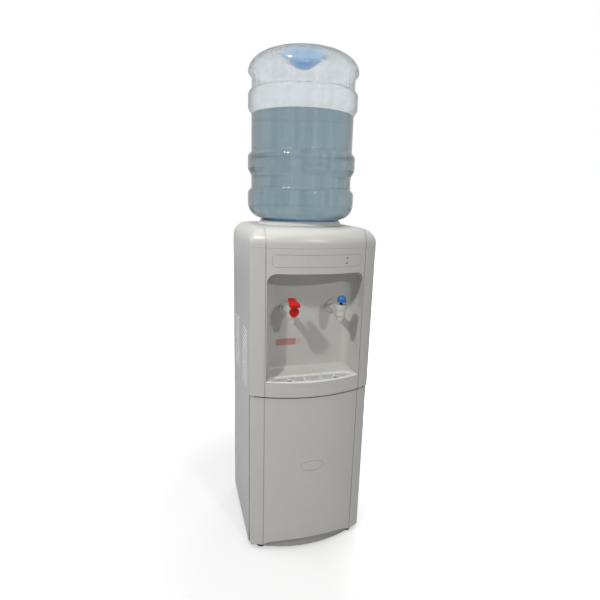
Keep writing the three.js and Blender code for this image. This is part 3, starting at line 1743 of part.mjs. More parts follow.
add('power_supply', powerSupply(), darkPlastic);
add('cord_gland', cordGland(), darkPlastic);
add('drain_pipe', drainPipe(), silicone);
add('drain_cap', drainCap(), whiteGloss, placed(hotX, capRear, drainZ));
add('switch_housing', switchHousing(), darkPlastic);
[['hot_switch', -rockerX, red], ['cold_switch', rockerX, green]].forEach(([name, x, material]) => {
  const holder = placed(switchX + x, backY, switchZ);
  holder.rotation.x = THREE.MathUtils.degToRad(-rockerTilt);
  add(name, rocker(), material, holder);
});
add('drip_tray', dripTray(), whiteGloss);
add('drip_grille', dripGrille(), whiteGloss);
[['hot', -tapX], ['cold', tapX]].forEach(([name, x]) => {
  const tap = placed(x, tapY, tapZ);
  add(`${name}_tap_body`, tapBody(), whiteGloss, tap);
  add(`${name}_tap_nut`, tapNut(), whiteGloss, tap);
  add(`${name}_tap_stem`, tapStem(), darkPlastic, tap);
  add(`${name}_tap_spring`, tapSpring(), steel, tap);
  const isHot = name === 'hot';
  add(`${name}_tap_cap`, isHot ? join(tapCap(), latchLug()) : tapCap(), whiteGloss, tap);
  add(`${name}_tap_lever`, isHot ? hotLever() : coldLever(), isHot ? red : blue, tap);
  if (isHot) add('hot_tap_latch', hotLatch(), red, tap);
});

export default group;
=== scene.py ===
# %% [markdown]
# # A water dispenser with an upturned bottle
# A dispenser that stands on the floor: a sheet-metal cabinet with a bowed plastic front, two taps
# in a recess, a drip tray, and a large bottle that stands on its head in a funnel. Its solids
# come packed from a CAD model. This script loads them, puts smooth pieces with many more facets
# in place of the ones that show, gives every piece a material made of nodes, and sets up the
# floor, the light and the camera.
#
# Lengths are written in millimetres, as on a drawing, and turned into metres where a mesh is
# made.

import math
from functools import cached_property

import bmesh
import bpy
from mathutils import Matrix, Vector

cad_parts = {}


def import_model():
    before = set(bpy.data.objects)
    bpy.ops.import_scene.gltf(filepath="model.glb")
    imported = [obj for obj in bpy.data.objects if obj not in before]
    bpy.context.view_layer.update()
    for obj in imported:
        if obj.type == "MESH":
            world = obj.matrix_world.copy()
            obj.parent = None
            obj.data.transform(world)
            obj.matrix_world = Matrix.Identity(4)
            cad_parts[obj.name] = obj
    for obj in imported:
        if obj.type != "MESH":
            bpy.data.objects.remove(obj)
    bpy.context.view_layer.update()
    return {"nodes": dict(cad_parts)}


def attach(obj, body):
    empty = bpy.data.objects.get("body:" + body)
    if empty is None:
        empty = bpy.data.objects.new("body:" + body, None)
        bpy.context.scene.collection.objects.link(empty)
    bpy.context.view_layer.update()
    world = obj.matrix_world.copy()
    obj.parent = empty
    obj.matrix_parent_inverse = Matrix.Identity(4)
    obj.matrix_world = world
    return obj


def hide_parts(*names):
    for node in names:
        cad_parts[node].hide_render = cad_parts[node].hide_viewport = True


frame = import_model()
nodes = frame["nodes"]
MM = 0.001

# %% [markdown]
# ## Camera
# The camera stands where that of the photograph stood: about a metre in front of the cabinet, a
# little to its left, a little above the cover. It could be placed by eye, but then nothing
# lines up with the photograph. Its centre, three angles and focal length were fitted instead,
# from the bottle's rims, the body's edges and the places of the taps. It comes first, because
# everything else is judged through it.

# %% Camera
CAMERA_PLACE = (-0.3212, -1.1045, 0.9096)
CAMERA_YAW, CAMERA_PITCH, CAMERA_ROLL = 0.2831, 0.2284, 0.0279
FOCAL_PIXELS, IMAGE_PIXELS, SENSOR = 442.4511, 600, 36.0
NEAREST, FARTHEST = 0.01, 30


def make_camera():
    forward = Vector((
        math.sin(CAMERA_YAW) * math.cos(CAMERA_PITCH),
        math.cos(CAMERA_YAW) * math.cos(CAMERA_PITCH),
        -math.sin(CAMERA_PITCH),
    ))
    level = Vector((math.cos(CAMERA_YAW), -math.sin(CAMERA_YAW), 0))
    upright = level.cross(forward)
    right = level * math.cos(CAMERA_ROLL) + upright * math.sin(CAMERA_ROLL)
    up = upright * math.cos(CAMERA_ROLL) - level * math.sin(CAMERA_ROLL)
    data = bpy.data.cameras.new("camera")
    data.sensor_width = SENSOR
    data.lens = FOCAL_PIXELS / IMAGE_PIXELS * SENSOR
    data.clip_start, data.clip_end = NEAREST, FARTHEST
    camera = bpy.data.objects.new("camera", data)
    turn = Matrix((right, up, -forward)).transposed().to_4x4()
    camera.matrix_world = Matrix.Translation(CAMERA_PLACE) @ turn
    bpy.context.scene.collection.objects.link(camera)
    bpy.context.scene.camera = camera
    return camera


print("camera lens", round(make_camera().data.lens, 3), "mm")

# %% [markdown]
# ## Arithmetic on sockets
# A shader is a sum of small steps: scale this noise, lift that mask. In the node editor each step
# is a Math node, and a long chain of them is hard to read. `Value` wraps one number socket, so
# that plain arithmetic in Python adds those nodes, and the text reads like the formula that it
# is.

# %% Arithmetic on sockets
class Value:
    """A number socket on which arithmetic adds Math nodes."""

    def __init__(self, tree, socket):
        self.tree = tree
        self.socket = socket

    def math(self, operation, first, second):
        node = self.tree.nodes.new("ShaderNodeMath")
        node.operation = operation
        for slot, item in zip(node.inputs, (first, second)):
            if isinstance(item, Value):
                self.tree.links.new(item.socket, slot)
            else:
                slot.default_value = item
        return Value(self.tree, node.outputs[0])

    def __add__(self, other):
        return self.math("ADD", self, other)

    def __radd__(self, other):
        return self.math("ADD", other, self)

    def __sub__(self, other):
        return self.math("SUBTRACT", self, other)

    def __rsub__(self, other):
        return self.math("SUBTRACT", other, self)

    def __mul__(self, other):
        return self.math("MULTIPLY", self, other)

    def __rmul__(self, other):
        return self.math("MULTIPLY", other, self)

    def __pow__(self, other):
        return self.math("POWER", self, other)

    def __rpow__(self, other):
        return self.math("POWER", other, self)


print("arithmetic for number sockets is ready")

# %% [markdown]
# ## A recipe of nodes
# `Recipe` holds the node tree of one material, or of the world. Its method `add` makes any node:
# the settings go first, because they decide which sockets the node has, then the inputs. The
# other methods are short names for what nearly every finish needs: a noise, a blend of two
# colours, a soft step, and a bump. Colours go through a Mix node, because a Math node would turn
# them grey.

# %% A recipe of nodes
class Recipe:
    """The node tree of a material or a world under construction."""

    def __init__(self, owner):
        self.owner = owner
        owner.use_nodes = True
        self.tree = owner.node_tree
        self.tree.nodes.clear()

    @cached_property
    def place(self):
        return self.add("TexCoord", {}, {}).outputs["Object"]

    def add(self, kind, settings, inputs):
        node = self.tree.nodes.new("ShaderNode" + kind)
        for key, value in settings.items():
            setattr(node, key, value)
        for key, value in inputs.items():
            if isinstance(value, Value):
                value = value.socket
            if isinstance(value, bpy.types.NodeSocket):
                self.tree.links.new(value, node.inputs[key])
            else:
                node.inputs[key].default_value = value
        return node

    def value(self, node, output=0):
        return Value(self.tree, node.outputs[output])

    def noise(self, scale, detail=2.0, stretch=(1, 1, 1), roughness=0.5):
        mapping = self.add("Mapping", {}, {"Vector": self.place, "Scale": stretch})
        vector = mapping.outputs["Vector"]
        inputs = {"Vector": vector, "Scale": scale, "Detail": detail, "Roughness": roughness}
        return self.value(self.add("TexNoise", {}, inputs))

    def blend(self, factor, first, second):
        """A colour between two; a colour may be a socket or three numbers."""
        ends = (
            item if isinstance(item, bpy.types.NodeSocket) else (*item, 1)
            for item in (first, second)
        )
        inputs = {"Factor": factor, **dict(zip((6, 7), ends))}
        return self.add("Mix", {"data_type": "RGBA"}, inputs).outputs[2]

    def fade(self, value, start, end):
        """A smooth step from 0 at start to 1 at end."""
        kind = {"interpolation_type": "SMOOTHSTEP"}
        inputs = {"Value": value, "From Min": start, "From Max": end}
        return self.value(self.add("MapRange", kind, inputs))

    def bump(self, height, distance, normal=None):
        inputs = {"Height": height, "Distance": distance, "Strength": 1.0}
        if normal is not None:
            inputs["Normal"] = normal
        return self.add("Bump", {}, inputs).outputs["Normal"]

    def close(self, shader):
        self.add("OutputMaterial", {}, {"Surface": shader.outputs[0]})
        return self.owner

    def principled(self, inputs):
        return self.close(self.add("BsdfPrincipled", {}, inputs))


print("node recipes are ready")

# %% [markdown]
# ## Moulded plastic and coated sheet
# The front, the door, the cover and the tray are injection-moulded plastic. The sides and the
# back are sheet steel with a powder coat, which has a faint orange-peel texture. One flat colour
# would look like paper. An image texture could carry the unevenness, but it needs unwrapping and
# blurs close up. Noise nodes have no seams and stay sharp at any distance, so a slow noise clouds
# the colour, a middle one varies the gloss, and a fine one bumps the surface.

# %% Moulded plastic and coated sheet
PLASTIC_INDEX = 1.5


def moulded(name, low, high, gloss, grain=900, depth=0.00004):
    """Plastic between two colours; grain and depth are its finest noise's scale and height."""
    recipe = Recipe(bpy.data.materials.new(name))
    cloud, patch, swell = recipe.noise(9, 3), recipe.noise(40, 2), recipe.noise(14, 1)
    speck = recipe.noise(grain, 2)
    return recipe.principled({
        "Base Color": recipe.blend(cloud, low, high),
        "Roughness": gloss + (patch - 0.5) * 0.08 + (speck - 0.5) * 0.05,
        "Normal": recipe.bump(speck, depth, recipe.bump(swell, 0.00012)),
        "IOR": PLASTIC_INDEX,
    })


def coated(name, low, high):
    """Powder-coated sheet between two colours."""
    recipe = Recipe(bpy.data.materials.new(name))
    peel, cloud, patch = recipe.noise(520, 2), recipe.noise(7, 3), recipe.noise(60, 2)
    return recipe.principled({
        "Base Color": recipe.blend(cloud, low, high),
        "Roughness": 0.36 + (patch - 0.5) * 0.1,
        "Normal": recipe.bump(peel, 0.00007),
        "IOR": PLASTIC_INDEX,
    })


WHITE = moulded("white_moulding", (0.61, 0.603, 0.578), (0.65, 0.643, 0.618), 0.3)
BRIGHT = moulded("bright_moulding", (0.82, 0.825, 0.82), (0.86, 0.865, 0.855), 0.28)
IVORY = moulded("ivory_moulding", (0.66, 0.65, 0.6), (0.7, 0.69, 0.64), 0.3)
GREY = moulded("grey_moulding", (0.42, 0.42, 0.41), (0.47, 0.47, 0.46), 0.5)
DARK = moulded("dark_moulding", (0.018, 0.019, 0.02), (0.028, 0.029, 0.031), 0.42)
RUBBER = moulded("rubber", (0.018, 0.018, 0.02), (0.03, 0.03, 0.032), 0.8, 500, 0.0001)
SHEET = coated("coated_sheet", (0.60, 0.61, 0.60), (0.64, 0.645, 0.635))
# The sills' paler coat is a painted highlight: the lit upper faces of the louvre blades, in the
# sheet's own coat.
PAINTED_HIGHLIGHT_SILL = coated("painted_highlight_louvre_sill", (0.73, 0.74, 0.73), (0.77, 0.775, 0.765))
print("plain finishes", len(bpy.data.materials))

# %% [markdown]
# ## Coloured plastic
# The levers, the cap, the strip in the recess and the pilot lamps' lenses are coloured right
# through. Their colours were read as 0 to 255, the way a picture stores them. The renderer works
# with linear light, where the same colour has smaller numbers, so `linear` turns one into the
# other. The levers are glossier than the white parts and have a finer grain. The lenses are
# nearly black, because no lamp is lit behind them.

# %% Coloured plastic
def linear(*picture):
    """A colour read from a picture as 0 to 255, as the renderer's linear light."""
    shares = [level / 255 for level in picture]
    return tuple(s / 12.92 if s <= 0.04045 else ((s + 0.055) / 1.055) ** 2.4 for s in shares)


CAP_BLUE = moulded("cap_plastic", (0.03, 0.18, 0.5), (0.04, 0.22, 0.56), 0.35)
RED = moulded("red_plastic", linear(198, 18, 12), linear(210, 26, 18), 0.22, 900, 0.00002)
BLUE = moulded("blue_plastic", linear(38, 104, 184), linear(50, 120, 198), 0.22, 900, 0.00002)
RED_STRIP = moulded("red_strip", linear(180, 104, 98), linear(208, 172, 166), 0.45, 300)
STRIP_END = moulded("strip_end", linear(200, 182, 176), linear(212, 198, 192), 0.45, 300)
AMBER = moulded("amber_lens", (0.07, 0.025, 0.012), (0.1, 0.035, 0.016), 0.15)
GREEN = moulded("green_lens", (0.014, 0.04, 0.018), (0.02, 0.055, 0.024), 0.15)
print("with the coloured ones", len(bpy.data.materials))

# %% [markdown]
# ## Metal, foam and silicone
# Behind the panels are tanks and a shelf of steel, an aluminium cooler, foam jackets and silicone
# hoses. They show only when a panel is taken off, so they get simple recipes. Brushed metal is
# noise stretched along one axis. Foam is a cell pattern that is both colour and bump. Silicone is
# milky: true scattering inside the wall would be slow to render, and a weak transmission looks
# the same on a thin hose.

# %% Metal, foam and silicone
def metal(name, low, high, gloss, stretch):
    """Brushed metal; the brushing runs across the axes with the large numbers in stretch."""
    recipe = Recipe(bpy.data.materials.new(name))
    brushed = recipe.noise(160, 4, stretch)
    return recipe.principled({
        "Base Color": recipe.blend(brushed, low, high),
        "Roughness": gloss + (brushed - 0.5) * 0.15,
        "Normal": recipe.bump(brushed, 0.00003),
        "Metallic": 1.0,
    })


def porous(name, low, high, scale, depth):
    recipe = Recipe(bpy.data.materials.new(name))
    cell = recipe.value(recipe.add("TexVoronoi", {}, {"Vector": recipe.place, "Scale": scale}))
    return recipe.principled({
        "Base Color": recipe.blend(cell, low, high),
        "Roughness": 0.85 + cell * 0.1,
        "Normal": recipe.bump(cell, depth),
    })


def milky(name, low, high, passing, index):
    """A soft plastic that lets a share of the light pass."""
    recipe = Recipe(bpy.data.materials.new(name))
    return recipe.principled({
        "Base Color": recipe.blend(recipe.noise(30, 2), low, high),
        "Roughness": 0.35 + recipe.noise(300, 2) * 0.1,
        "Transmission Weight": passing,
        "IOR": index,
    })


STEEL = metal("steel", (0.52, 0.53, 0.54), (0.62, 0.63, 0.64), 0.3, (1, 1, 14))
ALUMINIUM = metal("aluminium", (0.66, 0.67, 0.68), (0.75, 0.76, 0.77), 0.38, (12, 1, 1))
FOAM = porous("foam", (0.72, 0.68, 0.56), (0.82, 0.78, 0.66), 420, 0.0004)
SILICONE = milky("silicone", (0.72, 0.72, 0.68), (0.8, 0.8, 0.77), 0.3, 1.41)
print("with the ones inside", len(bpy.data.materials))

# %% [markdown]
# ## Bottle plastic and water
# The bottle is blown from clear polycarbonate with a blue cast, and the water fills its lower
# part. Both are see-through, so their colour comes from what stands behind them, tinted once at
# each surface. A volume with absorption would be truer, but it is slow and noisy. A Principled
# shader with full transmission is enough here, with four things on top: upright streaks in the
# tint, a darker tint at grazing angles, a bluer tint where the wall is thick, in the hollow of the
# base and at the foot, and a low bump of waves and ribs, which bends the view through the wall as
# blown plastic does. The water itself is clear: its dark grey-teal tint, darker still at grazing
# angles, is painted shade for the dim view through it.

# %% Bottle plastic and water
BOTTLE_Y = 22.0
# Metres, from where the thick wall's tint is absent to where it is full: spans from the bottle's
# axis, and heights above the floor.
BASE_SPANS, BASE_HEIGHTS = (0.062, 0.05), (1.19, 1.205)
FOOT_SPANS, FOOT_HEIGHTS = (0.128, 0.09), (0.88, 0.855)


def thick_wall(recipe):
    """1 in the hollow of the bottle's base and round its foot, 0 elsewhere."""
    place = recipe.add("SeparateXYZ", {}, {"Vector": recipe.place})
    x, y, z = (recipe.value(place, axis) for axis in range(3))
    y = y - BOTTLE_Y * MM
    span = (x * x + y * y) ** 0.5
    base = recipe.fade(span, *BASE_SPANS) * recipe.fade(z, *BASE_HEIGHTS)
    foot = recipe.fade(z, *FOOT_HEIGHTS) * recipe.fade(span, *FOOT_SPANS)
    return recipe.value(recipe.add("Math", {"operation": "MAXIMUM"}, {0: base, 1: foot}))


def clear(name, low, high, edge, deep, index, gloss, ripple, wave):
    """A clear plastic or liquid; its streaks lie between low and high, edge is the tint at grazing
    angles, and deep the one where the wall is thick."""
    recipe = Recipe(bpy.data.materials.new(name))
    streak = recipe.fade(recipe.noise(70, 3, (1, 1, 0.02)), 0.35, 0.65)
    facing = recipe.value(recipe.add("LayerWeight", {}, {"Blend": 0.5}), "Facing")
    tint = recipe.blend(facing ** 3, recipe.blend(streak, low, high), edge)
    draw = recipe.noise(ripple, 2, (1, 1, 0.25))
    ribs = recipe.noise(190, 1, (1, 1, 0.015))
    return recipe.principled({
        "Base Color": recipe.blend(thick_wall(recipe), tint, deep),
        "Roughness": gloss + recipe.noise(50, 2) * 0.02,
        "Normal": recipe.bump(ribs, wave, recipe.bump(draw, wave)),
        "IOR": index,
        "Transmission Weight": 1.0,
    })


BOTTLE = clear(
    "bottle_plastic",
    low=(0.87, 0.905, 0.93),
    high=(0.93, 0.955, 0.97),
    edge=(0.82, 0.87, 0.90),
    deep=(0.50, 0.70, 0.95),
    index=PLASTIC_INDEX,
    gloss=0.05,
    ripple=26,
    wave=0.0006,
)
# The water's dark grey-teal tint and its darker edge tint are painted shade: the water itself is
# clear.
WATER_WITH_PAINTED_SHADE = clear(
    "water",
    low=(0.27, 0.39, 0.42),
    high=(0.35, 0.465, 0.495),
    edge=(0.22, 0.34, 0.38),
    deep=(0.45, 0.75, 1.0),
    index=1.33,
    gloss=0.16,
    ripple=18,
    wave=0.0003,
)
print("all materials", len(bpy.data.materials))

# %% [markdown]
# ## Outlines
# Nearly every part of the dispenser can be drawn as a flat outline of straight lines and arcs, as
# a toolmaker would draw it. Curve objects could hold those outlines, but lists of points are
# easier to shift, mirror and join. `filleted` rounds the corners of such a list, each by a radius
# of its own.

# %% Outlines
def arc(cx, cy, radius, start, end, count):
    step = (end - start) / count
    return [
        (cx + radius * math.cos(start + step * i), cy + radius * math.sin(start + step * i))
        for i in range(count + 1)
    ]


def rounded_rectangle(x0, x1, y0, y1, radius, count=10):
    quarter = math.pi / 2
    return [
        *arc(x1 - radius, y1 - radius, radius, 0, quarter, count),
        *arc(x0 + radius, y1 - radius, radius, quarter, 2 * quarter, count),
        *arc(x0 + radius, y0 + radius, radius, 2 * quarter, 3 * quarter, count),
        *arc(x1 - radius, y0 + radius, radius, 3 * quarter, 4 * quarter, count),
    ]


STRAIGHT = 0.005  # radians: a corner that bends less than this is left as it is
TRIM_SHARE = 0.49  # the most of a side that one rounding may use


def filleted(points, radii, count=6):
    """An open line of points with each inner corner rounded by its radius."""
    out = [tuple(points[0])]
    for before, corner, after, radius in zip(points, points[1:], points[2:], radii):
        a, b, c = Vector(before), Vector(corner), Vector(after)
        to_a, to_c = a - b, c - b
        half = to_a.angle(to_c) / 2
        if radius <= 0 or half > math.pi / 2 - STRAIGHT:
            out.append(tuple(corner))
            continue
        trim = min(radius / math.tan(half), TRIM_SHARE * to_a.length, TRIM_SHARE * to_c.length)
        start, end = b + to_a.normalized() * trim, b + to_c.normalized() * trim
        middle = (to_a.normalized() + to_c.normalized()).normalized()
        centre = b + middle * trim / math.cos(half)
        first = math.atan2(start.y - centre.y, start.x - centre.x)
        last = math.atan2(end.y - centre.y, end.x - centre.x)
        turn = (last - first + math.pi) % (2 * math.pi) - math.pi
        out += arc(centre.x, centre.y, (start - centre).length, first, first + turn, count)
    return [*out, tuple(points[-1])]


print("points in a rounded square", len(rounded_rectangle(0, 10, 0, 10, 2)))

# %% [markdown]
# ## Solids from outlines
# An outline becomes a solid in one of three ways: pushed straight, as a sheet part or a rib;
# turned about an axis, as the bottle and the taps; or lofted through a stack of rings, as the
# cover and the tray. Blender's modifiers can do all three, but a boolean needs clean closed
# meshes, and those are sure only when the faces are written out. `solid` also makes certain that
# they all look outwards.

# %% Closed meshes and straight solids
MERGE = 0.00001 * MM  # points closer than this become one


def solid(vertices, faces):
    mesh = bpy.data.meshes.new("solid")
    mesh.from_pydata([[c * MM for c in v] for v in vertices], [], faces)
    obj = bpy.data.objects.new("solid", mesh)
    bpy.context.scene.collection.objects.link(obj)
    build = bmesh.new()
    build.from_mesh(mesh)
    bmesh.ops.remove_doubles(build, verts=build.verts, dist=MERGE)
    bmesh.ops.recalc_face_normals(build, faces=build.faces)
    if build.calc_volume(signed=True) < 0:
        bmesh.ops.reverse_faces(build, faces=build.faces)
    build.to_mesh(mesh)
    build.free()
    return obj


def extruded(points, start, end, place):
    count = len(points)
    vertices = [place(u, v, start) for u, v in points] + [place(u, v, end) for u, v in points]
    faces = [[i, (i + 1) % count, count + (i + 1) % count, count + i] for i in range(count)]
    return solid(vertices, [*faces, list(range(count))[::-1], list(range(count, 2 * count))])


def prism(points, low, high):
    return extruded(points, low, high, lambda u, v, level: (u, v, level))


def prism_y(points, front, rear):
    return extruded(points, front, rear, lambda u, v, level: (u, level, v))


def prism_x(points, left, right):
    return extruded(points, left, right, lambda u, v, level: (level, u, v))


def block(x0, x1, y0, y1, z0, z1):
    return prism([(x0, y0), (x1, y0), (x1, y1), (x0, y1)], z0, z1)


# %% Turned and lofted solids
def turned(profile, segments, x=0.0, y=0.0, place=None):
    """A profile of (radius, height) turned about an upright axis, closed there or on itself."""
    place = place or (lambda u, v, level: (x + u, y + v, level))
    closed = [*profile, profile[0]] if profile[0][0] > 0 else profile
    vertices, rows = [], []
    for r, z in closed:
        if r <= 0:
            rows.append([len(vertices)] * segments)
            vertices.append(place(0, 0, z))
            continue
        rows.append(list(range(len(vertices), len(vertices) + segments)))
        for i in range(segments):
            a = 2 * math.pi * i / segments
            vertices.append(place(r * math.cos(a), r * math.sin(a), z))
    faces = []
    for lower, upper in zip(rows, rows[1:]):
        for i in range(segments):
            j = (i + 1) % segments
            face = list(dict.fromkeys([lower[i], lower[j], upper[j], upper[i]]))
            if len(face) > 2:
                faces.append(face)
    return solid(vertices, faces)


def turned_y(profile, segments, x, z):
    return turned(profile, segments, place=lambda u, v, level: (x + u, level, z + v))


def turned_x(profile, segments, y, z):
    return turned(profile, segments, place=lambda u, v, level: (level, y + u, z + v))


def rod(radius, low, high, segments, x=0.0, y=0.0):
    return turned([(0, low), (radius, low), (radius, high), (0, high)], segments, x, y)


def rod_y(radius, front, rear, segments, x, z):
    return turned_y([(0, front), (radius, front), (radius, rear), (0, rear)], segments, x, z)


def rod_x(radius, left, right, segments, y, z):
    return turned_x([(0, left), (radius, left), (radius, right), (0, right)], segments, y, z)


def loft(rings):
    """A skin through rings that have the same number of points, closed at both ends."""
    count = len(rings[0])
    vertices = [p for ring in rings for p in ring]
    faces = []
    for level in range(len(rings) - 1):
        for i in range(count):
            a, b = level * count + i, level * count + (i + 1) % count
            faces.append([a, b, b + count, a + count])
    last = (len(rings) - 1) * count
    return solid(vertices, [*faces, list(range(count))[::-1], list(range(last, last + count))])


# %% [markdown]
# ## Joining and cutting
# A moulding is skins that are joined and pockets that are cut, so it is built with booleans, in
# the same order as the toolmaker cuts the mould. The fast solver fails where two faces lie in one
# plane, which happens on every seam here, so the exact one is used, and its result is written
# back to the mesh at once. `heap` puts pieces that don't touch in one mesh, which saves a boolean
# for each.

# %% Joining and cutting
def combine(first, second, operation):
    modifier = first.modifiers.new("combine", "BOOLEAN")
    modifier.operation = operation
    modifier.solver = "EXACT"
    modifier.object = second
    graph = bpy.context.evaluated_depsgraph_get()
    mesh = bpy.data.meshes.new_from_object(first.evaluated_get(graph))
    first.modifiers.clear()
    first.data = mesh
    bpy.data.objects.remove(second)
    return first


def join(first, *others):
    for other in others:
        first = combine(first, other, "UNION")
    return first


def cut(first, *tools):
    for tool in tools:
        first = combine(first, tool, "DIFFERENCE")
    return first


def meet(first, second):
    return combine(first, second, "INTERSECT")


def heap(*objs):
    """Several solids as one mesh, without any joining."""
    build = bmesh.new()
    for obj in objs:
        build.from_mesh(obj.data)
    mesh = bpy.data.meshes.new("heap")
    build.to_mesh(mesh)
    build.free()
    for obj in objs[1:]:
        bpy.data.objects.remove(obj)
    objs[0].data = mesh
    return objs[0]


print("meshes so far", len(bpy.data.meshes))

# %% [markdown]
# ## Dressing a piece
# No moulded or folded edge is knife-sharp: it catches a thin line of light. A bevel on the
# finished piece gives that line without more outline points, and weighted normals keep the large
# faces flat beside it. `dress` then says which body of the mechanism the piece rides on, which
# CAD pieces it replaces and what kind of finish it has.

# %% Dressing a piece
WELD = 0.002 * MM


def smooth(obj, width, angle=35):
    """Rounds a piece's sharp edges a little and shades it smoothly."""
    for face in obj.data.polygons:
        face.use_smooth = True
    weld = obj.modifiers.new("weld", "WELD")
    weld.merge_threshold = WELD
    if width > 0:
        bevel = obj.modifiers.new("edges", "BEVEL")
        bevel.width = width * MM
        bevel.segments = 3
        bevel.limit_method = "ANGLE"
        bevel.angle_limit = math.radians(angle)
        bevel.use_clamp_overlap = True
        bevel.miter_outer = "MITER_ARC"
    normals = obj.modifiers.new("normals", "WEIGHTED_NORMAL")
    normals.keep_sharp = True


def dress(obj, name, body, replaced, material, width=0.5, angle=35):
    obj.name = name
    obj.data.name = name
    obj.data.materials.clear()
    obj.data.materials.append(material)
    smooth(obj, width, angle)
    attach(obj, body)
    if replaced:
        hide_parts(*replaced)
    return obj


def note(*pieces):
    """Prints what was made: each piece's name, its faces and its size."""
    for piece in pieces:
        spans = zip(*(vertex.co for vertex in piece.data.vertices))
        size = [round((max(span) - min(span)) / MM, 1) for span in spans]
        print(piece.name, "faces", len(piece.data.polygons), "size", size, "mm")


# %% [markdown]
# ## The bowed front
# Seen from above, the whole front is one shallow bow, the arc of a large circle, with a small
# round corner at each side. Panel, door, cover, tray and strip all follow it. A spline could too,
# but only true arcs match the CAD model, on whose pieces the smooth ones have to lie. So the bow
# is written once, and each front part asks for it at its own depth.

# %% The bowed front
HALF, BOW, FRONT = 155.0, 326.0, -158.0
BOW_CENTRE = FRONT + BOW
CORNER, WALL, FIT = 10.0, 2.5, 0.3
# The front mouldings end a little behind the round corners, where the side panels begin.
SEAM = BOW_CENTRE - math.sqrt((BOW - CORNER) ** 2 - (HALF - CORNER) ** 2) + 5.8
STEPS = 72
# How far a cutting form runs past what it cuts: a little, well past, and past everything.
OVER, REACH, FAR, TALL, DEEP = 5.0, 20.0, 600.0, 1000.0, 100.0


def bow_y(x, inset=0.0):
    return BOW_CENTRE - math.sqrt((BOW - inset) ** 2 - x ** 2)


def front_line(inset, rear, half=HALF, corner=CORNER, bow=BOW):
    """The plan of the bowed front from the left side round to the right side."""
    half, corner, bow = half - inset, max(corner - inset, FIT), bow - inset
    cx = half - corner
    cy = BOW_CENTRE - math.sqrt((bow - corner) ** 2 - cx ** 2)
    right = math.atan2(cy - BOW_CENTRE, cx)
    left = -math.pi - right
    return [
        (-half, rear),
        *arc(-cx, cy, corner, -math.pi, left, 8),
        *arc(0, BOW_CENTRE, bow, left, right, STEPS)[1:-1],
        *arc(cx, cy, corner, right, 0, 8),
        (half, rear),
    ]


def skin(outer, inner, low, high, rear, **plan):
    """The front's wall between two insets, open at the rear."""
    outline = front_line(outer, rear, **plan) + front_line(inner, rear, **plan)[::-1]
    return prism(outline, low, high)


def full_front(inset, low, high, rear, **plan):
    """All that lies behind the front's skin, back to rear."""
    return prism(front_line(inset, rear, **plan), low, high)


print("the bow falls back", round(bow_y(HALF) - FRONT, 1), "mm to the sides")

# %% [markdown]
# ## Fine upright grooves
# Two thin grooves run from the top of the cover down over the panel and the door. They are wide
# enough to show as dark lines, so a bump in the material won't do: they are cut. The tool is the
# front's own skin, as thick as the groove is deep, and only the two slivers at the grooves are
# kept of it, so the depth is the same all along the bow.

# %% Fine upright grooves
GROOVE_X, GROOVE_WIDTH, GROOVE_DEPTH = 121.0, 2.0, 1.9


def groove_slabs(rear, low, high):
    near, far = GROOVE_X - GROOVE_WIDTH / 2, GROOVE_X + GROOVE_WIDTH / 2
    left = block(near, far, -FAR, rear, low, high)
    return heap(left, block(-far, -near, -FAR, rear, low, high))


def groove_tools(low, high, **plan):
    """Two upright slivers of the front's skin."""
    ring = skin(-1, GROOVE_DEPTH, low, high, SEAM, **plan)
    return meet(ring, groove_slabs(0, low - OVER, high + OVER))


print("groove", GROOVE_WIDTH, "wide", GROOVE_DEPTH, "deep")

# %% [markdown]
# ## The recess
# The taps stand in a recess that is moulded in one with the panel. Its rear corners are wide, its
# floor sweeps up into the rear wall, and its roof is rounded too. A bevelled box can't give three
# different radii on edges that run together. Three prisms can: the plan, the side view and the
# face, each with its own roundings, and the recess is what they have in common. `grow` makes the
# same form larger on every side, for the wall round it.

# %% The recess
BAY_HALF, BAY_LOW, BAY_HIGH, BAY_BACK = 118.5, 476.0, 739.0, -78.0
BAY_CORNER, BAY_SWEEP, BAY_TOP = 36.0, 26.0, 22.0


def bay_form(grow):
    half, back = BAY_HALF + grow, BAY_BACK + grow
    radius, sweep, top = BAY_CORNER + grow, BAY_SWEEP + grow, BAY_TOP + grow
    low, high = BAY_LOW - grow, BAY_HIGH + grow
    mouth, quarter = FRONT - REACH, math.pi / 2
    plan = [
        (-half, mouth),
        (half, mouth),
        *arc(half - radius, back - radius, radius, 0, quarter, 16),
        *arc(radius - half, back - radius, radius, quarter, 2 * quarter, 16),
    ]
    side = [
        (mouth, low),
        *arc(back - sweep, low + sweep, sweep, -quarter, 0, 14),
        *arc(back - top / 2, high - top / 2, top / 2, 0, quarter, 10),
        (mouth, high),
    ]
    face = [
        (half, low),
        *arc(half - top, high - top, top, 0, quarter, 12),
        *arc(top - half, high - top, top, quarter, 2 * quarter, 12),
        (-half, low),
    ]
    body = meet(prism(plan, low, high), prism_x(side, -half - REACH, half + REACH))
    return meet(body, prism_y(face, mouth - REACH, back + REACH))


print("recess", 2 * BAY_HALF, "wide", BAY_HIGH - BAY_LOW, "high")

# %% [markdown]
# ## The tray's plan and its finger lip
# The drip tray fills the floor of the recess: its front follows the bow and its rear corners are
# round. The panel needs the same plan for the pocket that the tray hangs in, a little larger. So
# the plan is a function of an inset, and a stack of such rings gives the pocket now and the tray
# later. A small lip in the middle of the front lets a finger lift the tray out.

# %% The tray's plan and its finger lip
TRAY_HALF, TRAY_BACK, TRAY_CORNER = 116.8, -103.5, 32.0
RIM_Z, TRAY_Z, RIM_WIDTH, TRAY_WALL = 473.5, 448.5, 5.0, 1.8
LIP_HALF, LIP_REACH, LIP_HEIGHT, LIP_STEPS = 60.0, 1.4, 7.0, 40
FINE_TURN, LAST_TURN = 1e-9, 1e-10


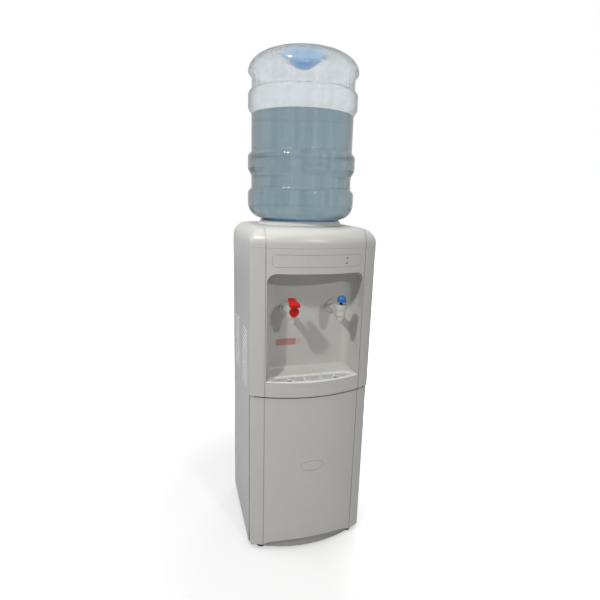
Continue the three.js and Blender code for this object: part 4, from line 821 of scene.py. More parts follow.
def tray_ring(inset, z):
    """The tray's plan at a height, moved inwards by inset: the bow, then the round rear corners."""
    half, back, radius = TRAY_HALF - inset, TRAY_BACK - inset, TRAY_CORNER - inset
    cx, cy, quarter = half - radius, back - radius, math.pi / 2

    def behind(a):
        return cy + radius * math.sin(a) > bow_y(cx + radius * math.cos(a), inset)

    # A corner's arc starts where it leaves the bow. Halved steps find that angle.
    start, step = 0.0, quarter / 2
    if not behind(start):
        while step > FINE_TURN or not behind(start):
            start += -step if behind(start) else step
            step = max(step / 2, LAST_TURN)
    end = cx + radius * math.cos(start)
    across = [end * (2 * i / STEPS - 1) for i in range(STEPS + 1)]
    plan = [
        *[(x, bow_y(x, inset)) for x in across],
        *arc(cx, cy, radius, start, quarter, 14),
        *arc(-cx, cy, radius, quarter, 2 * quarter - start, 14),
    ]
    return [(x, y, z) for x, y in plan]


def tray_form(inset, low, high):
    return loft([tray_ring(inset, low), tray_ring(inset, high)])


def lip_form(gap, low, high):
    """The finger lip, larger on every side by gap; it is thickest in its middle."""
    half = LIP_HALF + gap
    front, rear = [], []
    for i in range(LIP_STEPS + 1):
        u = 2 * i / LIP_STEPS - 1
        front.append((u * half, bow_y(u * half, 0.05 - gap)))
        rear.append((u * half, bow_y(u * half) + gap + LIP_REACH * (1 - u * u) + FIT / 2))
    return prism(front + rear[::-1], low, high)


print("points in the tray's plan", len(tray_ring(0, 0)))

# %% [markdown]
# ## Upper front panel
# The panel is the largest moulding: a bowed skin with the recess, the pocket of the tray, a
# shallow seat for the strip in its head, holes for the taps and the pilot lamps, and the two
# grooves. Walls are joined first and hollows are cut last, so that no wall fills a hollow again.
# A hollow is always the same form as the wall round it, without the wall's thickness.

# %% Seats and holes in the panel
STRIP_LOW, STRIP_HIGH, STRIP_HALF, STRIP_CORNER, STRIP_DEPTH = 754.0, 783.0, 108.0, 9, 1.0
TAP_X, TAP_Z, TAP_HOLE = 60.0, 642.5, 9.1
LIGHT_X, LIGHT_Z, LIGHT_STEP, LIGHT_HOLE, LIGHT_DEPTH = 68.0, 768.5, 6, 1.9, 6


def strip_outline(inset):
    half, low, high = STRIP_HALF - inset, STRIP_LOW + inset, STRIP_HIGH - inset
    return prism_y(rounded_rectangle(-half, half, low, high, STRIP_CORNER - inset), -FAR, 0.0)


def light_holes(rear):
    heights = (LIGHT_Z - LIGHT_STEP, LIGHT_Z + LIGHT_STEP)
    return [rod_y(LIGHT_HOLE, -FAR, rear, 24, LIGHT_X, z) for z in heights]


print("strip", 2 * STRIP_HALF, "by", STRIP_HIGH - STRIP_LOW, "mm")

# %% Upper front panel
PANEL_LOW, PANEL_HIGH = 437.0, 797.0


def front_panel():
    rear = SEAM - FIT
    body = skin(0, WALL, PANEL_LOW, PANEL_HIGH, rear)
    brow = skin(WALL / 2, WALL + LIP_REACH + FIT, RIM_Z - 2 * LIP_HEIGHT, BAY_LOW, rear)
    wide = LIP_HALF + WALL
    body = join(body, meet(brow, block(-wide, wide, -FAR, 0, 0, TALL)))
    body = join(body, meet(bay_form(WALL), full_front(WALL / 2, 0, TALL, DEEP)))
    for tool in (
        tray_form(-WALL, RIM_Z - FIT - WALL, BAY_LOW),
        tray_form(RIM_WIDTH - FIT - WALL, TRAY_Z - FIT - WALL, RIM_Z),
    ):
        body = join(body, meet(tool, full_front(WALL / 2, 0, TALL, DEEP)))
    body = cut(body, bay_form(0))
    body = cut(body, tray_form(-FIT, RIM_Z - FIT, BAY_LOW + FIT))
    body = cut(body, tray_form(RIM_WIDTH - FIT, TRAY_Z - FIT, BAY_LOW))
    seat = meet(skin(-1, STRIP_DEPTH, PANEL_LOW, PANEL_HIGH, rear), strip_outline(0))
    body = cut(body, seat, groove_tools(PANEL_LOW - 1, PANEL_HIGH + 1))
    holes = [
        rod_y(TAP_HOLE, BAY_BACK - OVER, BAY_BACK + REACH, 40, x, TAP_Z) for x in (-TAP_X, TAP_X)
    ]
    body = cut(body, heap(*holes, *light_holes(bow_y(LIGHT_X) + LIGHT_DEPTH)))
    body = cut(body, lip_form(FIT, RIM_Z - LIP_HEIGHT - FIT, RIM_Z + FIT))
    return dress(body, "panel_moulding", "cabinet", ["front_panel"], WHITE, 0.6, 40)


note(front_panel())

# %% [markdown]
# ## Strip in the panel's head
# A thin plate with rounded ends lies in the seat above the recess. It could be a line in the
# material, but then it would have no edge for the light to catch. It is a sliver of the bowed
# skin, met with its outline, and it is cut a little smaller than its seat, so that the gap round
# it shows as a fine dark line.

# %% Strip in the panel's head
STRIP_THICK, STRIP_GAP = 0.6, 3 * FIT


def fascia():
    rear = STRIP_DEPTH - FIT
    plate = skin(rear - STRIP_THICK, rear, PANEL_LOW, PANEL_HIGH, SEAM)
    plate = cut(meet(plate, strip_outline(STRIP_GAP)), heap(*light_holes(0)))
    return dress(plate, "fascia_bar", "cabinet", ["fascia_strip"], WHITE, 0.15)


note(fascia())

# %% [markdown]
# ## Pilot lamps and the red strip
# At the right end of the plate sit two pilot lamps, one above the other: little turned lenses
# with a rounded nose. On the rear wall of the recess is a thin red strip with a pale, narrower
# right end. It could be painted on the panel with a mask in the material, but its edge would be
# soft, so it is two plates a quarter of a millimetre thick.

# %% Pilot lamps and the red strip
LENS_NOSE = [
    (0, 0), (0.7, 0.08), (1.25, 0.35), (1.6, 0.8), (1.6, LIGHT_DEPTH), (0, LIGHT_DEPTH),
]
STRIP_AWAY, PLATE_THICK, PLATE_CORNER = 0.02, 0.25, 2


def pilot_light(name, way, material):
    start = bow_y(LIGHT_X) - FIT
    profile = [(r, start + depth) for r, depth in LENS_NOSE]
    obj = turned_y(profile, 24, LIGHT_X, LIGHT_Z + way * LIGHT_STEP)
    return dress(obj, name + "_lens", "cabinet", [name], material, 0)


def wall_plate(name, x0, x1, z0, z1, material):
    rear = BAY_BACK - STRIP_AWAY
    plate = prism_y(rounded_rectangle(x0, x1, z0, z1, PLATE_CORNER), rear - PLATE_THICK, rear)
    return dress(plate, name, "cabinet", None, material, 0)


note(
    wall_plate("recess_strip", -82, -31, 546, 563, RED_STRIP),
    wall_plate("recess_strip_end", -31, -19, 549, 562, STRIP_END),
    pilot_light("heating_light", 1, AMBER),
    pilot_light("cooling_light", -1, GREEN),
)

# %% [markdown]
# ## Door
# The door covers the lower half. It is a skin of the same bow, set in a little, with a rim along
# its top, a floor above the plinth, and a boss at the left end of each that turns on a hinge pin.
# Its lower edge is arched, and an oval line is pressed into its middle. A line that fine could be
# a bump, but from the side a bump has no depth, so a thin ring of the skin is cut away instead.

# %% Door sizes and forms
DOOR = {"half": HALF - 2.2, "corner": 9.0, "bow": BOW - 2.2}
DOOR_LOW, DOOR_HIGH, DOOR_REAR, DOOR_FLOOR = 15.0, 433.0, SEAM - 3, 42.0
PIN_X, PIN_Y, PIN_BORE, BOSS_RADIUS, BOSS_HEIGHT = -146.8, -116.04, 2.1, 4, 16
ARCH_HALF, ARCH_RISE = 118, 20
OVAL_Z, OVAL_HALF, OVAL_RISE, OVAL_LINE, OVAL_DEPTH = 246, 31, 15, 2.2, 1.2


def door_bosses():
    low = rod(BOSS_RADIUS, DOOR_LOW, DOOR_FLOOR + WALL / 2, 24, PIN_X, PIN_Y)
    high = rod(BOSS_RADIUS, DOOR_HIGH - BOSS_HEIGHT, DOOR_HIGH, 24, PIN_X, PIN_Y)
    return meet(heap(low, high), full_front(0, 0, TALL, DEEP, **DOOR))


def door_bores():
    reach = BOSS_HEIGHT + FIT
    return heap(
        rod(PIN_BORE, 0, DOOR_LOW + reach, 24, PIN_X, PIN_Y),
        rod(PIN_BORE, DOOR_HIGH - reach, TALL, 24, PIN_X, PIN_Y),
    )


def door_arch():
    round_top = arc(0, 0, 1, math.pi, 0, 48)
    arch = [(u * ARCH_HALF, DOOR_LOW + v * ARCH_RISE) for u, v in round_top]
    return prism_y([(ARCH_HALF, 0), (-ARCH_HALF, 0), *arch], -FAR, 0)


def oval_outline(inset):
    circle = arc(0, 0, 1, 0, 2 * math.pi, 96)[:-1]
    return [(u * (OVAL_HALF - inset), OVAL_Z + v * (OVAL_RISE - inset)) for u, v in circle]


def door_oval():
    ring = skin(-1, OVAL_DEPTH, 100, 400, DOOR_REAR, **DOOR)
    middle = prism_y(oval_outline(OVAL_LINE), -FAR - 1, 1)
    return meet(ring, cut(prism_y(oval_outline(0), -FAR, 0), middle))


print("door", DOOR_HIGH - DOOR_LOW, "mm high")

# %% Door
def door():
    body = skin(0, WALL, DOOR_LOW, DOOR_HIGH, DOOR_REAR, **DOOR)
    body = join(body, full_front(WALL / 2, DOOR_HIGH - WALL, DOOR_HIGH, DOOR_REAR, **DOOR))
    body = join(body, full_front(WALL / 2, DOOR_FLOOR, DOOR_FLOOR + WALL, DOOR_REAR, **DOOR))
    body = join(body, meet(door_bosses(), block(-FAR, FAR, -FAR, DOOR_REAR, 0, TALL)))
    body = cut(body, door_arch())
    grooves = groove_tools(DOOR_LOW - 1, DOOR_HIGH + 1, **DOOR)
    body = cut(body, door_bores(), grooves, door_oval())
    return dress(body, "door_moulding", "door", ["door"], WHITE, 0.6, 40)


note(door())

# %% [markdown]
# ## Top cover
# The cover's sides rise a little and then roll over in one large soft edge, tighter at the rear.
# A bevel of that radius would eat the round corners of the plan. So it is lofted: a stack of
# plans, each a little further in and higher, as a quarter of a circle asks. A second, smaller
# loft hollows it, and a round hole takes the bottle's seat.

# %% The cover's form
REAR, COVER_LOW, COVER_TOP, COVER_BAND, COVER_ROUND = 158.0, 797.3, 841.3, 8.0, 37.0
CORNER_GROWTH, REAR_SHARE, COVER_LEVELS = 0.75, 0.5, 18


def cover_ring(z, inset, inwards):
    """The cover's plan: inset follows its soft edge, inwards is the thickness of its wall."""
    grown = CORNER + CORNER_GROWTH * inset
    corner = grown - min(inwards, grown / 2)
    rear, rear_corner = REAR - inset * REAR_SHARE - inwards, grown / 2
    half, bow = HALF - inset - inwards, BOW - inset - inwards
    cx = half - corner
    cy = BOW_CENTRE - math.sqrt((bow - corner) ** 2 - cx ** 2)
    right = math.atan2(cy - BOW_CENTRE, cx)
    left = -math.pi - right
    quarter = math.pi / 2
    plan = [
        *arc(half - rear_corner, rear - rear_corner, rear_corner, 0, quarter, 8),
        *arc(rear_corner - half, rear - rear_corner, rear_corner, quarter, 2 * quarter, 8),
        *arc(-cx, cy, corner, -math.pi, left, 10),
        *arc(0, BOW_CENTRE, bow, left, right, STEPS)[1:-1],
        *arc(cx, cy, corner, right, 0, 10),
    ]
    return [(x, y, z) for x, y in plan]


def cover_form(inwards, drop):
    """The cover as a full solid; drop lets its lower end hang down, for a form that hollows."""
    rise = COVER_TOP - COVER_LOW - COVER_BAND
    rings = [cover_ring(COVER_LOW - drop, 0, inwards)]
    for i in range(COVER_LEVELS + 1):
        a = math.pi / 2 * i / COVER_LEVELS
        z = COVER_LOW + COVER_BAND + (rise - inwards) * math.sin(a)
        rings.append(cover_ring(z, COVER_ROUND * (1 - math.cos(a)), inwards))
    return loft(rings)


print("points in the cover's plan", len(cover_ring(0, 0, 0)))

# %% Top cover
COVER_WALL, LEDGE_DROP, LEDGE_REAR = 3, 7, 127
SEAT_HOLE, SEAT_FLANGE, HOLE_TOP = 95.9, 108, 900


def cover():
    shell = cut(cover_form(0, 0), cover_form(COVER_WALL, REACH))
    inner, outer = WALL + FIT, 2 * WALL + FIT
    ledge = skin(inner, outer, COVER_LOW - LEDGE_DROP, COVER_LOW + COVER_BAND, LEDGE_REAR)
    shell = join(shell, ledge)
    shell = cut(shell, rod(SEAT_HOLE, 0, HOLE_TOP, 96, 0, BOTTLE_Y))
    rind = cut(cover_form(-FIT, 0), cover_form(GROOVE_DEPTH, REACH))
    slabs = groove_slabs(BOTTLE_Y - SEAT_FLANGE, 0, COVER_TOP - GROOVE_DEPTH)
    shell = cut(shell, meet(rind, slabs))
    return dress(shell, "cover_moulding", "cabinet", ["top_cover"], WHITE, 0.5, 40)


note(cover())

# %% [markdown]
# ## The bottle's seat
# A funnel hangs in the cover's hole by its flange. The bottle's shoulder lies on its cone, and
# the neck stands in the well below. A funnel is round all over, so its wall is drawn as one
# section with rounded corners and turned about the bottle's axis. The cone's line is a function,
# because the bottle's shoulder uses the same one.

# %% The bottle's seat
MOUTH_Z, NECK_RADIUS, NECK_HEIGHT, SLOPE = 775.0, 27.5, 53, math.radians(20)
WELL_DROP, COLLAR_DROP, LEAD_OUT, LEAD_IN, SEAT_SEGMENTS = 84, 9, 101, 96, 96


def cone_z(r):
    """The height of the cone on which the bottle's shoulder lies, at a radius."""
    return MOUTH_Z + NECK_HEIGHT + (r - NECK_RADIUS) * math.tan(SLOPE)


def bottle_seat():
    under, well = FIT + WALL / math.cos(SLOPE), COVER_TOP - WELL_DROP
    drain, cup, collar, rim = 8.1, 37.5, 93.1, 95.6
    profile = filleted(
        [
            (drain, well),
            (cup, well),
            (cup, cone_z(cup) - under),
            (collar, cone_z(collar) - under),
            (collar, COVER_TOP - COLLAR_DROP),
            (rim, COVER_TOP - COLLAR_DROP),
            (rim, COVER_TOP + FIT),
            (SEAT_FLANGE, COVER_TOP + FIT),
            (SEAT_FLANGE, COVER_TOP + FIT + WALL / 2),
            (LEAD_OUT, cone_z(LEAD_IN) - FIT),
            (LEAD_IN, cone_z(LEAD_IN) - FIT),
            (cup - WALL, cone_z(cup - WALL) - FIT),
            (cup - WALL, well + WALL),
            (drain, well + WALL),
        ],
        [1, 3, 2, 0.3, 0.3, 0.3, 0.2, 0.6, 2.5, 2, 4, 1, 0.2],
        5,
    )
    obj = turned(profile, SEAT_SEGMENTS, 0, BOTTLE_Y)
    return dress(obj, "seat_funnel", "cabinet", ["bottle_seat"], BRIGHT, 0)


note(bottle_seat())

# %% [markdown]
# ## Bottle
# The bottle is blown in a mould and stands on its head: a neck, a sloping shoulder, stiffening
# hoops with waists between them, a rounded crown, and the hollow of its base on top. It is round
# all over, so it is one turned profile. A mesh with a Solidify modifier would thicken it as well,
# but a second line, moved in by the wall, keeps the wall even through the tight curves of the
# hoops. Light then bends at both faces of the wall, as in the real one.

# %% Bottle
BOTTLE_TOP, BOTTLE_RADIUS, WAIST_RADIUS = 1246.0, 134.5, 126.0
BOTTLE_WALL, BOTTLE_SEGMENTS = 1.3, 128
CROWN_REACH, CROWN_DROP = 78, 47
# Heights as shares of the bottle's, each with 1 at a hoop's edge and 0 at a waist's.
HOOPS = [
    (0.31, 1), (0.329, 0), (0.393, 0), (0.425, 1), (0.495, 1), (0.515, 0),
    (0.7, 0), (0.728, 1), (0.8, 1), (0.817, 0), (0.877, 0),
]
HOLLOW = [(43.7, -10.8), (25.2, -27), (0, -36)]


def bottle_line(inset):
    """The bottle's outline from its mouth to the middle of its base, moved inwards by inset."""
    height = BOTTLE_TOP - MOUTH_Z
    hoops = [
        (BOTTLE_RADIUS if out else WAIST_RADIUS, MOUTH_Z + height * share) for share, out in HOOPS
    ]
    crown = [
        (BOTTLE_RADIUS - CROWN_REACH * (1 - u), BOTTLE_TOP - CROWN_DROP * (1 - v))
        for u, v in arc(0, 0, 1, 0, math.pi / 2, 28)
    ]
    points = [
        (NECK_RADIUS, MOUTH_Z),
        (NECK_RADIUS, cone_z(NECK_RADIUS)),
        (BOTTLE_RADIUS, cone_z(BOTTLE_RADIUS)),
        *hoops,
        *crown,
        *[(r, BOTTLE_TOP + drop) for r, drop in HOLLOW],
    ]
    radii = [5, 70, *[9] * (len(hoops) + 1), *[0] * (len(crown) - 2), 7, 30, 30]
    line = filleted(points, radii, 10)
    if inset == 0:
        return line
    moved = []
    for i, point in enumerate(line):
        before, after = line[max(i - 1, 0)], line[min(i + 1, len(line) - 1)]
        dr, dz = after[0] - before[0], after[1] - before[1]
        length = math.hypot(dr, dz)
        moved.append((point[0] - dz / length * inset, point[1] + dr / length * inset))
    moved[-1] = (0, moved[-1][1])
    return moved


def bottle():
    outer = bottle_line(0)
    inner = bottle_line(BOTTLE_WALL)
    inner[0] = (inner[0][0], MOUTH_Z)
    obj = turned([*inner[::-1], *outer], BOTTLE_SEGMENTS, 0, BOTTLE_Y)
    return dress(obj, "bottle_shell", "bottle", ["bottle"], BOTTLE, 0)


note(bottle())

# %% [markdown]
# ## Water
# The water fills the bottle up to its level and leaves air in the crown. It could share its
# surface with the bottle's inside, but two faces in one place flicker when they are rendered. So
# it is a body of its own that keeps a hair's breadth from the wall. It leaves room for the feed
# probe in the neck, and its level has a small rounded edge, where real water climbs the wall.

# %% Water
WATER_LEVEL, WATER_INSET, WATER_FOOT = 1104.0, 1.7, 0.4
PROBE_TOP, PROBE_ROOM = 829.0, 11.1
EDGE_RISE, EDGE_REACH = 0.6, 1.2


def water():
    foot = MOUTH_Z + WATER_FOOT
    line = [(r, z) for r, z in bottle_line(WATER_INSET) if foot < z < WATER_LEVEL]
    wall = line[-1][0]
    profile = [
        (0, PROBE_TOP),
        (PROBE_ROOM, PROBE_TOP),
        (PROBE_ROOM, foot),
        (line[0][0], foot),
        *line,
        (wall, WATER_LEVEL - EDGE_RISE),
        (wall - EDGE_REACH, WATER_LEVEL),
        (0, WATER_LEVEL),
    ]
    obj = turned(profile, BOTTLE_SEGMENTS, 0, BOTTLE_Y)
    # The water's material carries painted shade in its dark tint.
    return dress(obj, "water_body", "bottle", ["water"], WATER_WITH_PAINTED_SHADE, 0)


note(water())

# %% [markdown]
# ## Drip tray
# The tray hangs by its rim in the pocket of the panel and catches what the taps drip. It is
# lofted through the plans of its outer wall, its rim, and its inner wall down to a ledge for the
# grille and on to its floor: each step below is an inset and a height. A bevel softens what the
# steps leave sharp. The finger lip is a piece of its own, because it crosses the rim.

# %% Drip tray
LEDGE_Z = BAY_LOW - 5


def drip_tray():
    wall = RIM_WIDTH + TRAY_WALL
    ledge = wall + 2
    steps = [
        (RIM_WIDTH, TRAY_Z), (RIM_WIDTH, RIM_Z), (0, RIM_Z),
        (0, BAY_LOW - 0.9), (0.3, BAY_LOW - 0.25), (1, BAY_LOW),
        (wall - 0.5, BAY_LOW), (wall, BAY_LOW - 0.5), (wall, LEDGE_Z), (ledge, LEDGE_Z),
        (ledge, LEDGE_Z - TRAY_WALL), (wall, LEDGE_Z - TRAY_WALL), (wall, TRAY_Z + TRAY_WALL),
    ]
    body = loft([tray_ring(inset, z) for inset, z in steps])
    return dress(body, "tray_moulding", "drip_tray", ["drip_tray"], BRIGHT, 0.4, 40)


def tray_lip():
    lip = lip_form(0, RIM_Z - LIP_HEIGHT, RIM_Z)
    return dress(lip, "tray_lip", "drip_tray", None, WHITE, 0.3, 40)


note(drip_tray(), tray_lip())

# %% [markdown]
# ## Drip grille
# The grille lies on the tray's ledge: a rim, a comb of thin slats that run from front to rear, a
# few wider bars, and a round hole with a collar under each nozzle. An Array modifier could repeat
# the slats, but they have to end at a curved rim. So a heap of straight slats is met with the
# tray's own plan and joined to the rim in one go.

# %% Drip grille
GRILLE_LOW, GRILLE_HIGH, GRILLE_EDGE, GRILLE_RIM = BAY_LOW - 4.7, BAY_LOW - 2.1, 0.4, 3.4
SLAT_PITCH, SLAT_START, SLAT_END, SLATS_EACH_WAY = 4, 1.25, 2.75, 28
BAR_X, BAR_HALF, NOZZLE_BAR_FRONT = 21.5, 1.6, -140
NOZZLE_Y, NOZZLE_HOLE, NOZZLE_COLLAR = -138, 8.5, 11.5


def grille_cells(inset, low, high):
    """What is cut from the plate between its rim, its bars and the collars of its holes."""
    cells = tray_form(inset + GRILLE_RIM, low - 5, high + 5)
    for x in (-BAR_X, BAR_X):
        cells = cut(cells, block(x - BAR_HALF, x + BAR_HALF, -FAR, 0, low - 9, high + 9))
    for x in (-TAP_X, TAP_X):
        bar = block(x - BAR_HALF, x + BAR_HALF, NOZZLE_BAR_FRONT, 0, low - 9, high + 9)
        cells = cut(cells, bar, rod(NOZZLE_COLLAR, low - 8, high + 8, 48, x, NOZZLE_Y))
    return cells


def grille_slats(low, high):
    starts = [i * SLAT_PITCH for i in range(-SLATS_EACH_WAY, SLATS_EACH_WAY)]
    return heap(*[block(x + SLAT_START, x + SLAT_END, -FAR, 0, low, high) for x in starts])


def drip_grille():
    low, high = GRILLE_LOW, GRILLE_HIGH
    inset = RIM_WIDTH + TRAY_WALL + FIT
    levels = ((0, low), (0, high - GRILLE_EDGE), (GRILLE_EDGE, high))
    plate = loft([tray_ring(inset + shrink, z) for shrink, z in levels])
    cells = grille_cells(inset, low, high)
    slats = meet(grille_slats(low + 0.3, high - 0.5), tray_form(inset + 3, low - 5, high + 5))
    plate = join(cut(plate, cells), slats)
    holes = [rod(NOZZLE_HOLE, low - 5, high + 5, 48, x, NOZZLE_Y) for x in (-TAP_X, TAP_X)]
    plate, name, body = cut(plate, *holes), "grille_moulding", "drip_grille"
    return dress(plate, name, body, ["drip_grille"], BRIGHT, 0.3, 40)


note(drip_grille())

# %% [markdown]
# ## Taps: the bodies
# Each tap body is one casting: an upright head that narrows to a nozzle, and a barrel that runs
# back through the wall of the recess, with a flange that lies on it. Both are turned parts that
# cross, so two turned profiles are joined. A tap is made round its own axis, with height 0 at the
# middle of the barrel, and only then moved to its place, so that both taps share every number.

# %% Tap bodies
TAP_Y = -145.0
TAPS = {"hot": -TAP_X, "cold": TAP_X}
HEAD = [
    (0, -19.5), (5.6, -19.5), (7.6, -19.5), (9.4, -9.5), (12, -5.75),
    (12, 17.5), (9.4, 17.5), (9.4, -4.6), (0, -4.6),
]
HEAD_RADII = [0.2, 0.8, 3, 3, 1, 0.4, 1]
NOZZLE_BORE = [(0, -19.6), (5.6, -19.6), (5.6, -7.0), (0, -7.0)]
BARREL_RADII = [0.1, 2.5, 1, 0.8, 0.4, 0.2, 0.3, 0.3, 0.2]


def placed_tap(obj, name, x, body, replaced, material, width):
    """Moves a tap's piece from its own axis to its place and dresses it."""
    obj.data.transform(Matrix.Translation((x * MM, TAP_Y * MM, TAP_Z * MM)))
    return dress(obj, name, body, [replaced], material, width, 40)


def tap_body(side, x):
    upright = cut(turned(filleted(HEAD, HEAD_RADII, 5), 64), turned(NOZZLE_BORE, 48))
    wall = BAY_BACK - TAP_Y
    barrel = [
        (0, 9.9), (8.8, 9.9), (8.8, wall - 4.3), (15, wall - 4.3), (16.4, wall - 2.3),
        (16.4, wall - FIT), (8.8, wall - FIT), (8.8, wall + 21.5), (4.2, wall + 21.5),
        (4.2, wall), (0, wall),
    ]
    body = join(upright, turned_y(filleted(barrel, BARREL_RADII, 5), 56, 0, 0))
    name, replaced = side + "_tap_casting", side + "_tap_body"
    return placed_tap(body, name, x, "cabinet", replaced, IVORY, 0.5)


print("tap head", HEAD[5][1] - HEAD[0][1], "mm high")

# %% [markdown]
# ## Taps: caps, stems and springs
# A ring-shaped cap screws on the head and holds the stem's spring down. On the hot tap it also
# has a small arm with a cross pin, on which the safety latch turns. The stem ends in a plug that
# closes the nozzle, and a cross pin at its top carries the lever. The spring is a wire wound
# round the stem. It could be a curve with a bevel, but a loft of small octagons along the helix
# gives the same closed mesh as every other piece. It starts above the plug, which leaves room for
# the stem's stroke.

# %% Caps and stems
CAP = [(12.3, 9.4), (14, 9.4), (14, 20.5), (3.3, 20.5), (3.3, 17.8), (12.3, 17.8), (12.3, 9.6)]
CAP_RADII = [0.5, 2.4, 0.5, 0.2, 0.2]
ARM_HALF, LATCH_PIN_Y, LATCH_PIN_Z = 3.1, -16, 22
LEVER_PIN_Z = 29.2
STEM = [(0, -4.3), (6.8, -4.3), (6.8, 1.1), (3, 1.1), (3, 30.2), (2.5, 30.7), (0, 30.7)]


def tap_cap(side, x):
    cap = turned(filleted(CAP, CAP_RADII, 5), 64)
    if side == "hot":
        arm = block(-ARM_HALF, ARM_HALF, LATCH_PIN_Y, -12.3, 20.7, 23.3)
        stand = block(-ARM_HALF, ARM_HALF, -14, -12.3, 17.5, 23.3)
        cap = join(cap, arm, stand, rod_x(1.3, -5.8, 5.8, 20, LATCH_PIN_Y, LATCH_PIN_Z))
    name, replaced = side + "_cap_ring", side + "_tap_cap"
    return placed_tap(cap, name, x, "cabinet", replaced, IVORY, 0.3)


def tap_stem(side, x):
    stem = join(turned(STEM, 32), rod_x(1.4, -7, 7, 20, 0, LEVER_PIN_Z))
    name, replaced = side + "_stem_rod", side + "_tap_stem"
    return placed_tap(stem, name, x, side + "_stem", replaced, DARK, 0.2)


print("stem", STEM[-1][1] - STEM[0][1], "mm long")

# %% Springs, and both taps
WIRE, COIL_RADIUS, COIL_LOW, COIL_HIGH = 0.5, 5.3, 3.3, 17.2
COIL_TURNS, TURN_SIDES, WIRE_SIDES = 7, 24, 8


def coil():
    section = arc(0, 0, WIRE, 0, 2 * math.pi, WIRE_SIDES)[:-1]
    rings = []
    for i in range(COIL_TURNS * TURN_SIDES + 1):
        share = i / (COIL_TURNS * TURN_SIDES)
        a = 2 * math.pi * COIL_TURNS * share
        level = COIL_LOW + WIRE + (COIL_HIGH - COIL_LOW - 2 * WIRE) * share
        rings.append([
            ((COIL_RADIUS + u) * math.cos(a), (COIL_RADIUS + u) * math.sin(a), level + v)
            for u, v in section
        ])
    return loft(rings)


def tap_spring(side, x):
    name, replaced = side + "_spring_coil", side + "_tap_spring"
    return placed_tap(coil(), name, x, "cabinet", replaced, STEEL, 0)


for side, x in TAPS.items():
    note(tap_body(side, x), tap_cap(side, x), tap_stem(side, x), tap_spring(side, x))

# %% [markdown]
# ## Taps: the blue lever
# The cold tap's lever is a hollow dome with a lip towards the user. Two ears inside it hold the
# stem's cross pin. A scaled sphere would be too pointed: the real dome has a flat top and full
# shoulders. Raising both coordinates of a quarter circle to a power below 1 gives that fuller
# curve, and it is turned twice, once for the outside and once, a little smaller, for the inside.

# %% Blue lever
EAR_X, EAR_HALF, EAR_DEPTH, EAR_LOW, EAR_HIGH = 5.5, 1.2, 3, 26.3, 33.2
DOME_Y, DOME_LOW, BRIM_HIGH, FULLNESS = -4, 28.6, 31.0, 0.8
DOME_OUTER, DOME_OUTER_RISE, DOME_INNER, DOME_INNER_RISE, BRIM_REACH = 11, 14.5, 9, 12.5, 15


def ear_pair():
    return [
        block(x - EAR_HALF, x + EAR_HALF, -EAR_DEPTH, EAR_DEPTH, EAR_LOW, EAR_HIGH)
        for x in (-EAR_X, EAR_X)
    ]


def pin_bore():
    return rod_x(1.7, -7.3, 7.3, 20, 0, LEVER_PIN_Z)


def dome(radius, rise):
    quarter = arc(0, 0, 1, 0, math.pi / 2, 16)[:-1]
    curve = [(radius * u ** FULLNESS, DOME_LOW + rise * v ** FULLNESS) for u, v in quarter]
    return [*curve, (0, DOME_LOW + rise)]


def blue_lever():
    outer, inner = dome(DOME_OUTER, DOME_OUTER_RISE), dome(DOME_INNER, DOME_INNER_RISE)
    shell = turned([*inner[::-1], *outer], 64, 0, DOME_Y)
    front_half = arc(0, 0, 1, math.pi, 2 * math.pi, 40)
    lip = [(DOME_OUTER * u, BRIM_REACH * v + DOME_Y) for u, v in front_half]
    brim = cut(prism(lip, DOME_LOW, BRIM_HIGH), rod(DOME_INNER, 0, DEEP, 64, 0, DOME_Y))
    full = turned([(0, EAR_LOW), (DOME_OUTER, EAR_LOW), *outer], 64, 0, DOME_Y)
    body = join(shell, brim, meet(heap(*ear_pair()), full))
    body = cut(body, pin_bore())
    name, replaced = "cold_lever_dome", "cold_tap_lever"
    return placed_tap(body, name, TAP_X, "cold_lever", replaced, BLUE, 0.7)


note(blue_lever())

# %% [markdown]
# ## Taps: the red lever
# The hot tap's lever is a flat paddle that widens and slopes down towards the user, hollow below,
# with the same two ears. Its outline from above and its side view are both simple, so it is where
# a prism of each meets, less a smaller one of the same kind.

# %% Red lever
PADDLE_PLAN = [(-8, 14), (8, 14), (13, -26), (-13, -26)]
PADDLE_CORNER, PADDLE_WALL, CORNER_SHARE = 3.2, 2, 0.6
PADDLE_REAR, PADDLE_REAR_Z, PADDLE_FALL = 14, 35, 8.5 / 40


def outline_of(points, radius):
    """A closed outline with all its corners rounded."""
    count = len(points)
    out = []
    for i in range(count):
        trio = [points[i - 1], points[i], points[(i + 1) % count]]
        out += filleted(trio, [radius], 8)[1:-1]
    return out


def paddle_plan(shrink, low, high):
    points = [
        (x - math.copysign(shrink, x), y - math.copysign(shrink, y)) for x, y in PADDLE_PLAN
    ]
    return prism(outline_of(points, PADDLE_CORNER - shrink * CORNER_SHARE), low, high)


def paddle_side(low, high):
    """A sloping slab between two distances from the paddle's underside."""
    ends = [(y, PADDLE_REAR_Z - (PADDLE_REAR - y) * PADDLE_FALL) for y in (40, -60)]
    lower = [(y, z + low) for y, z in ends]
    return prism_x([*lower, *[(y, z + high) for y, z in ends[::-1]]], -40, 40)


def red_lever():
    outer = meet(paddle_plan(0, 0, 80), paddle_side(-4, 2))
    inner = meet(paddle_plan(PADDLE_WALL, -100, 80), paddle_side(-80, 0))
    body = join(cut(outer, inner), *ear_pair())
    body = cut(body, pin_bore())
    name, replaced = "hot_lever_paddle", "hot_tap_lever"
    return placed_tap(body, name, -TAP_X, "hot_lever", replaced, RED, 0.8)


note(red_lever())

# %% [markdown]
# ## Taps: the hot tap's latch
# A round red disc hangs in front of the hot tap's cap and has to be lifted before the lever can
# be pushed, so that nobody scalds a hand. It is a turned disc with a raised rim. A gap is cut in
# its top for the cap's arm, and beside the gap two cheeks hold the cross pin.

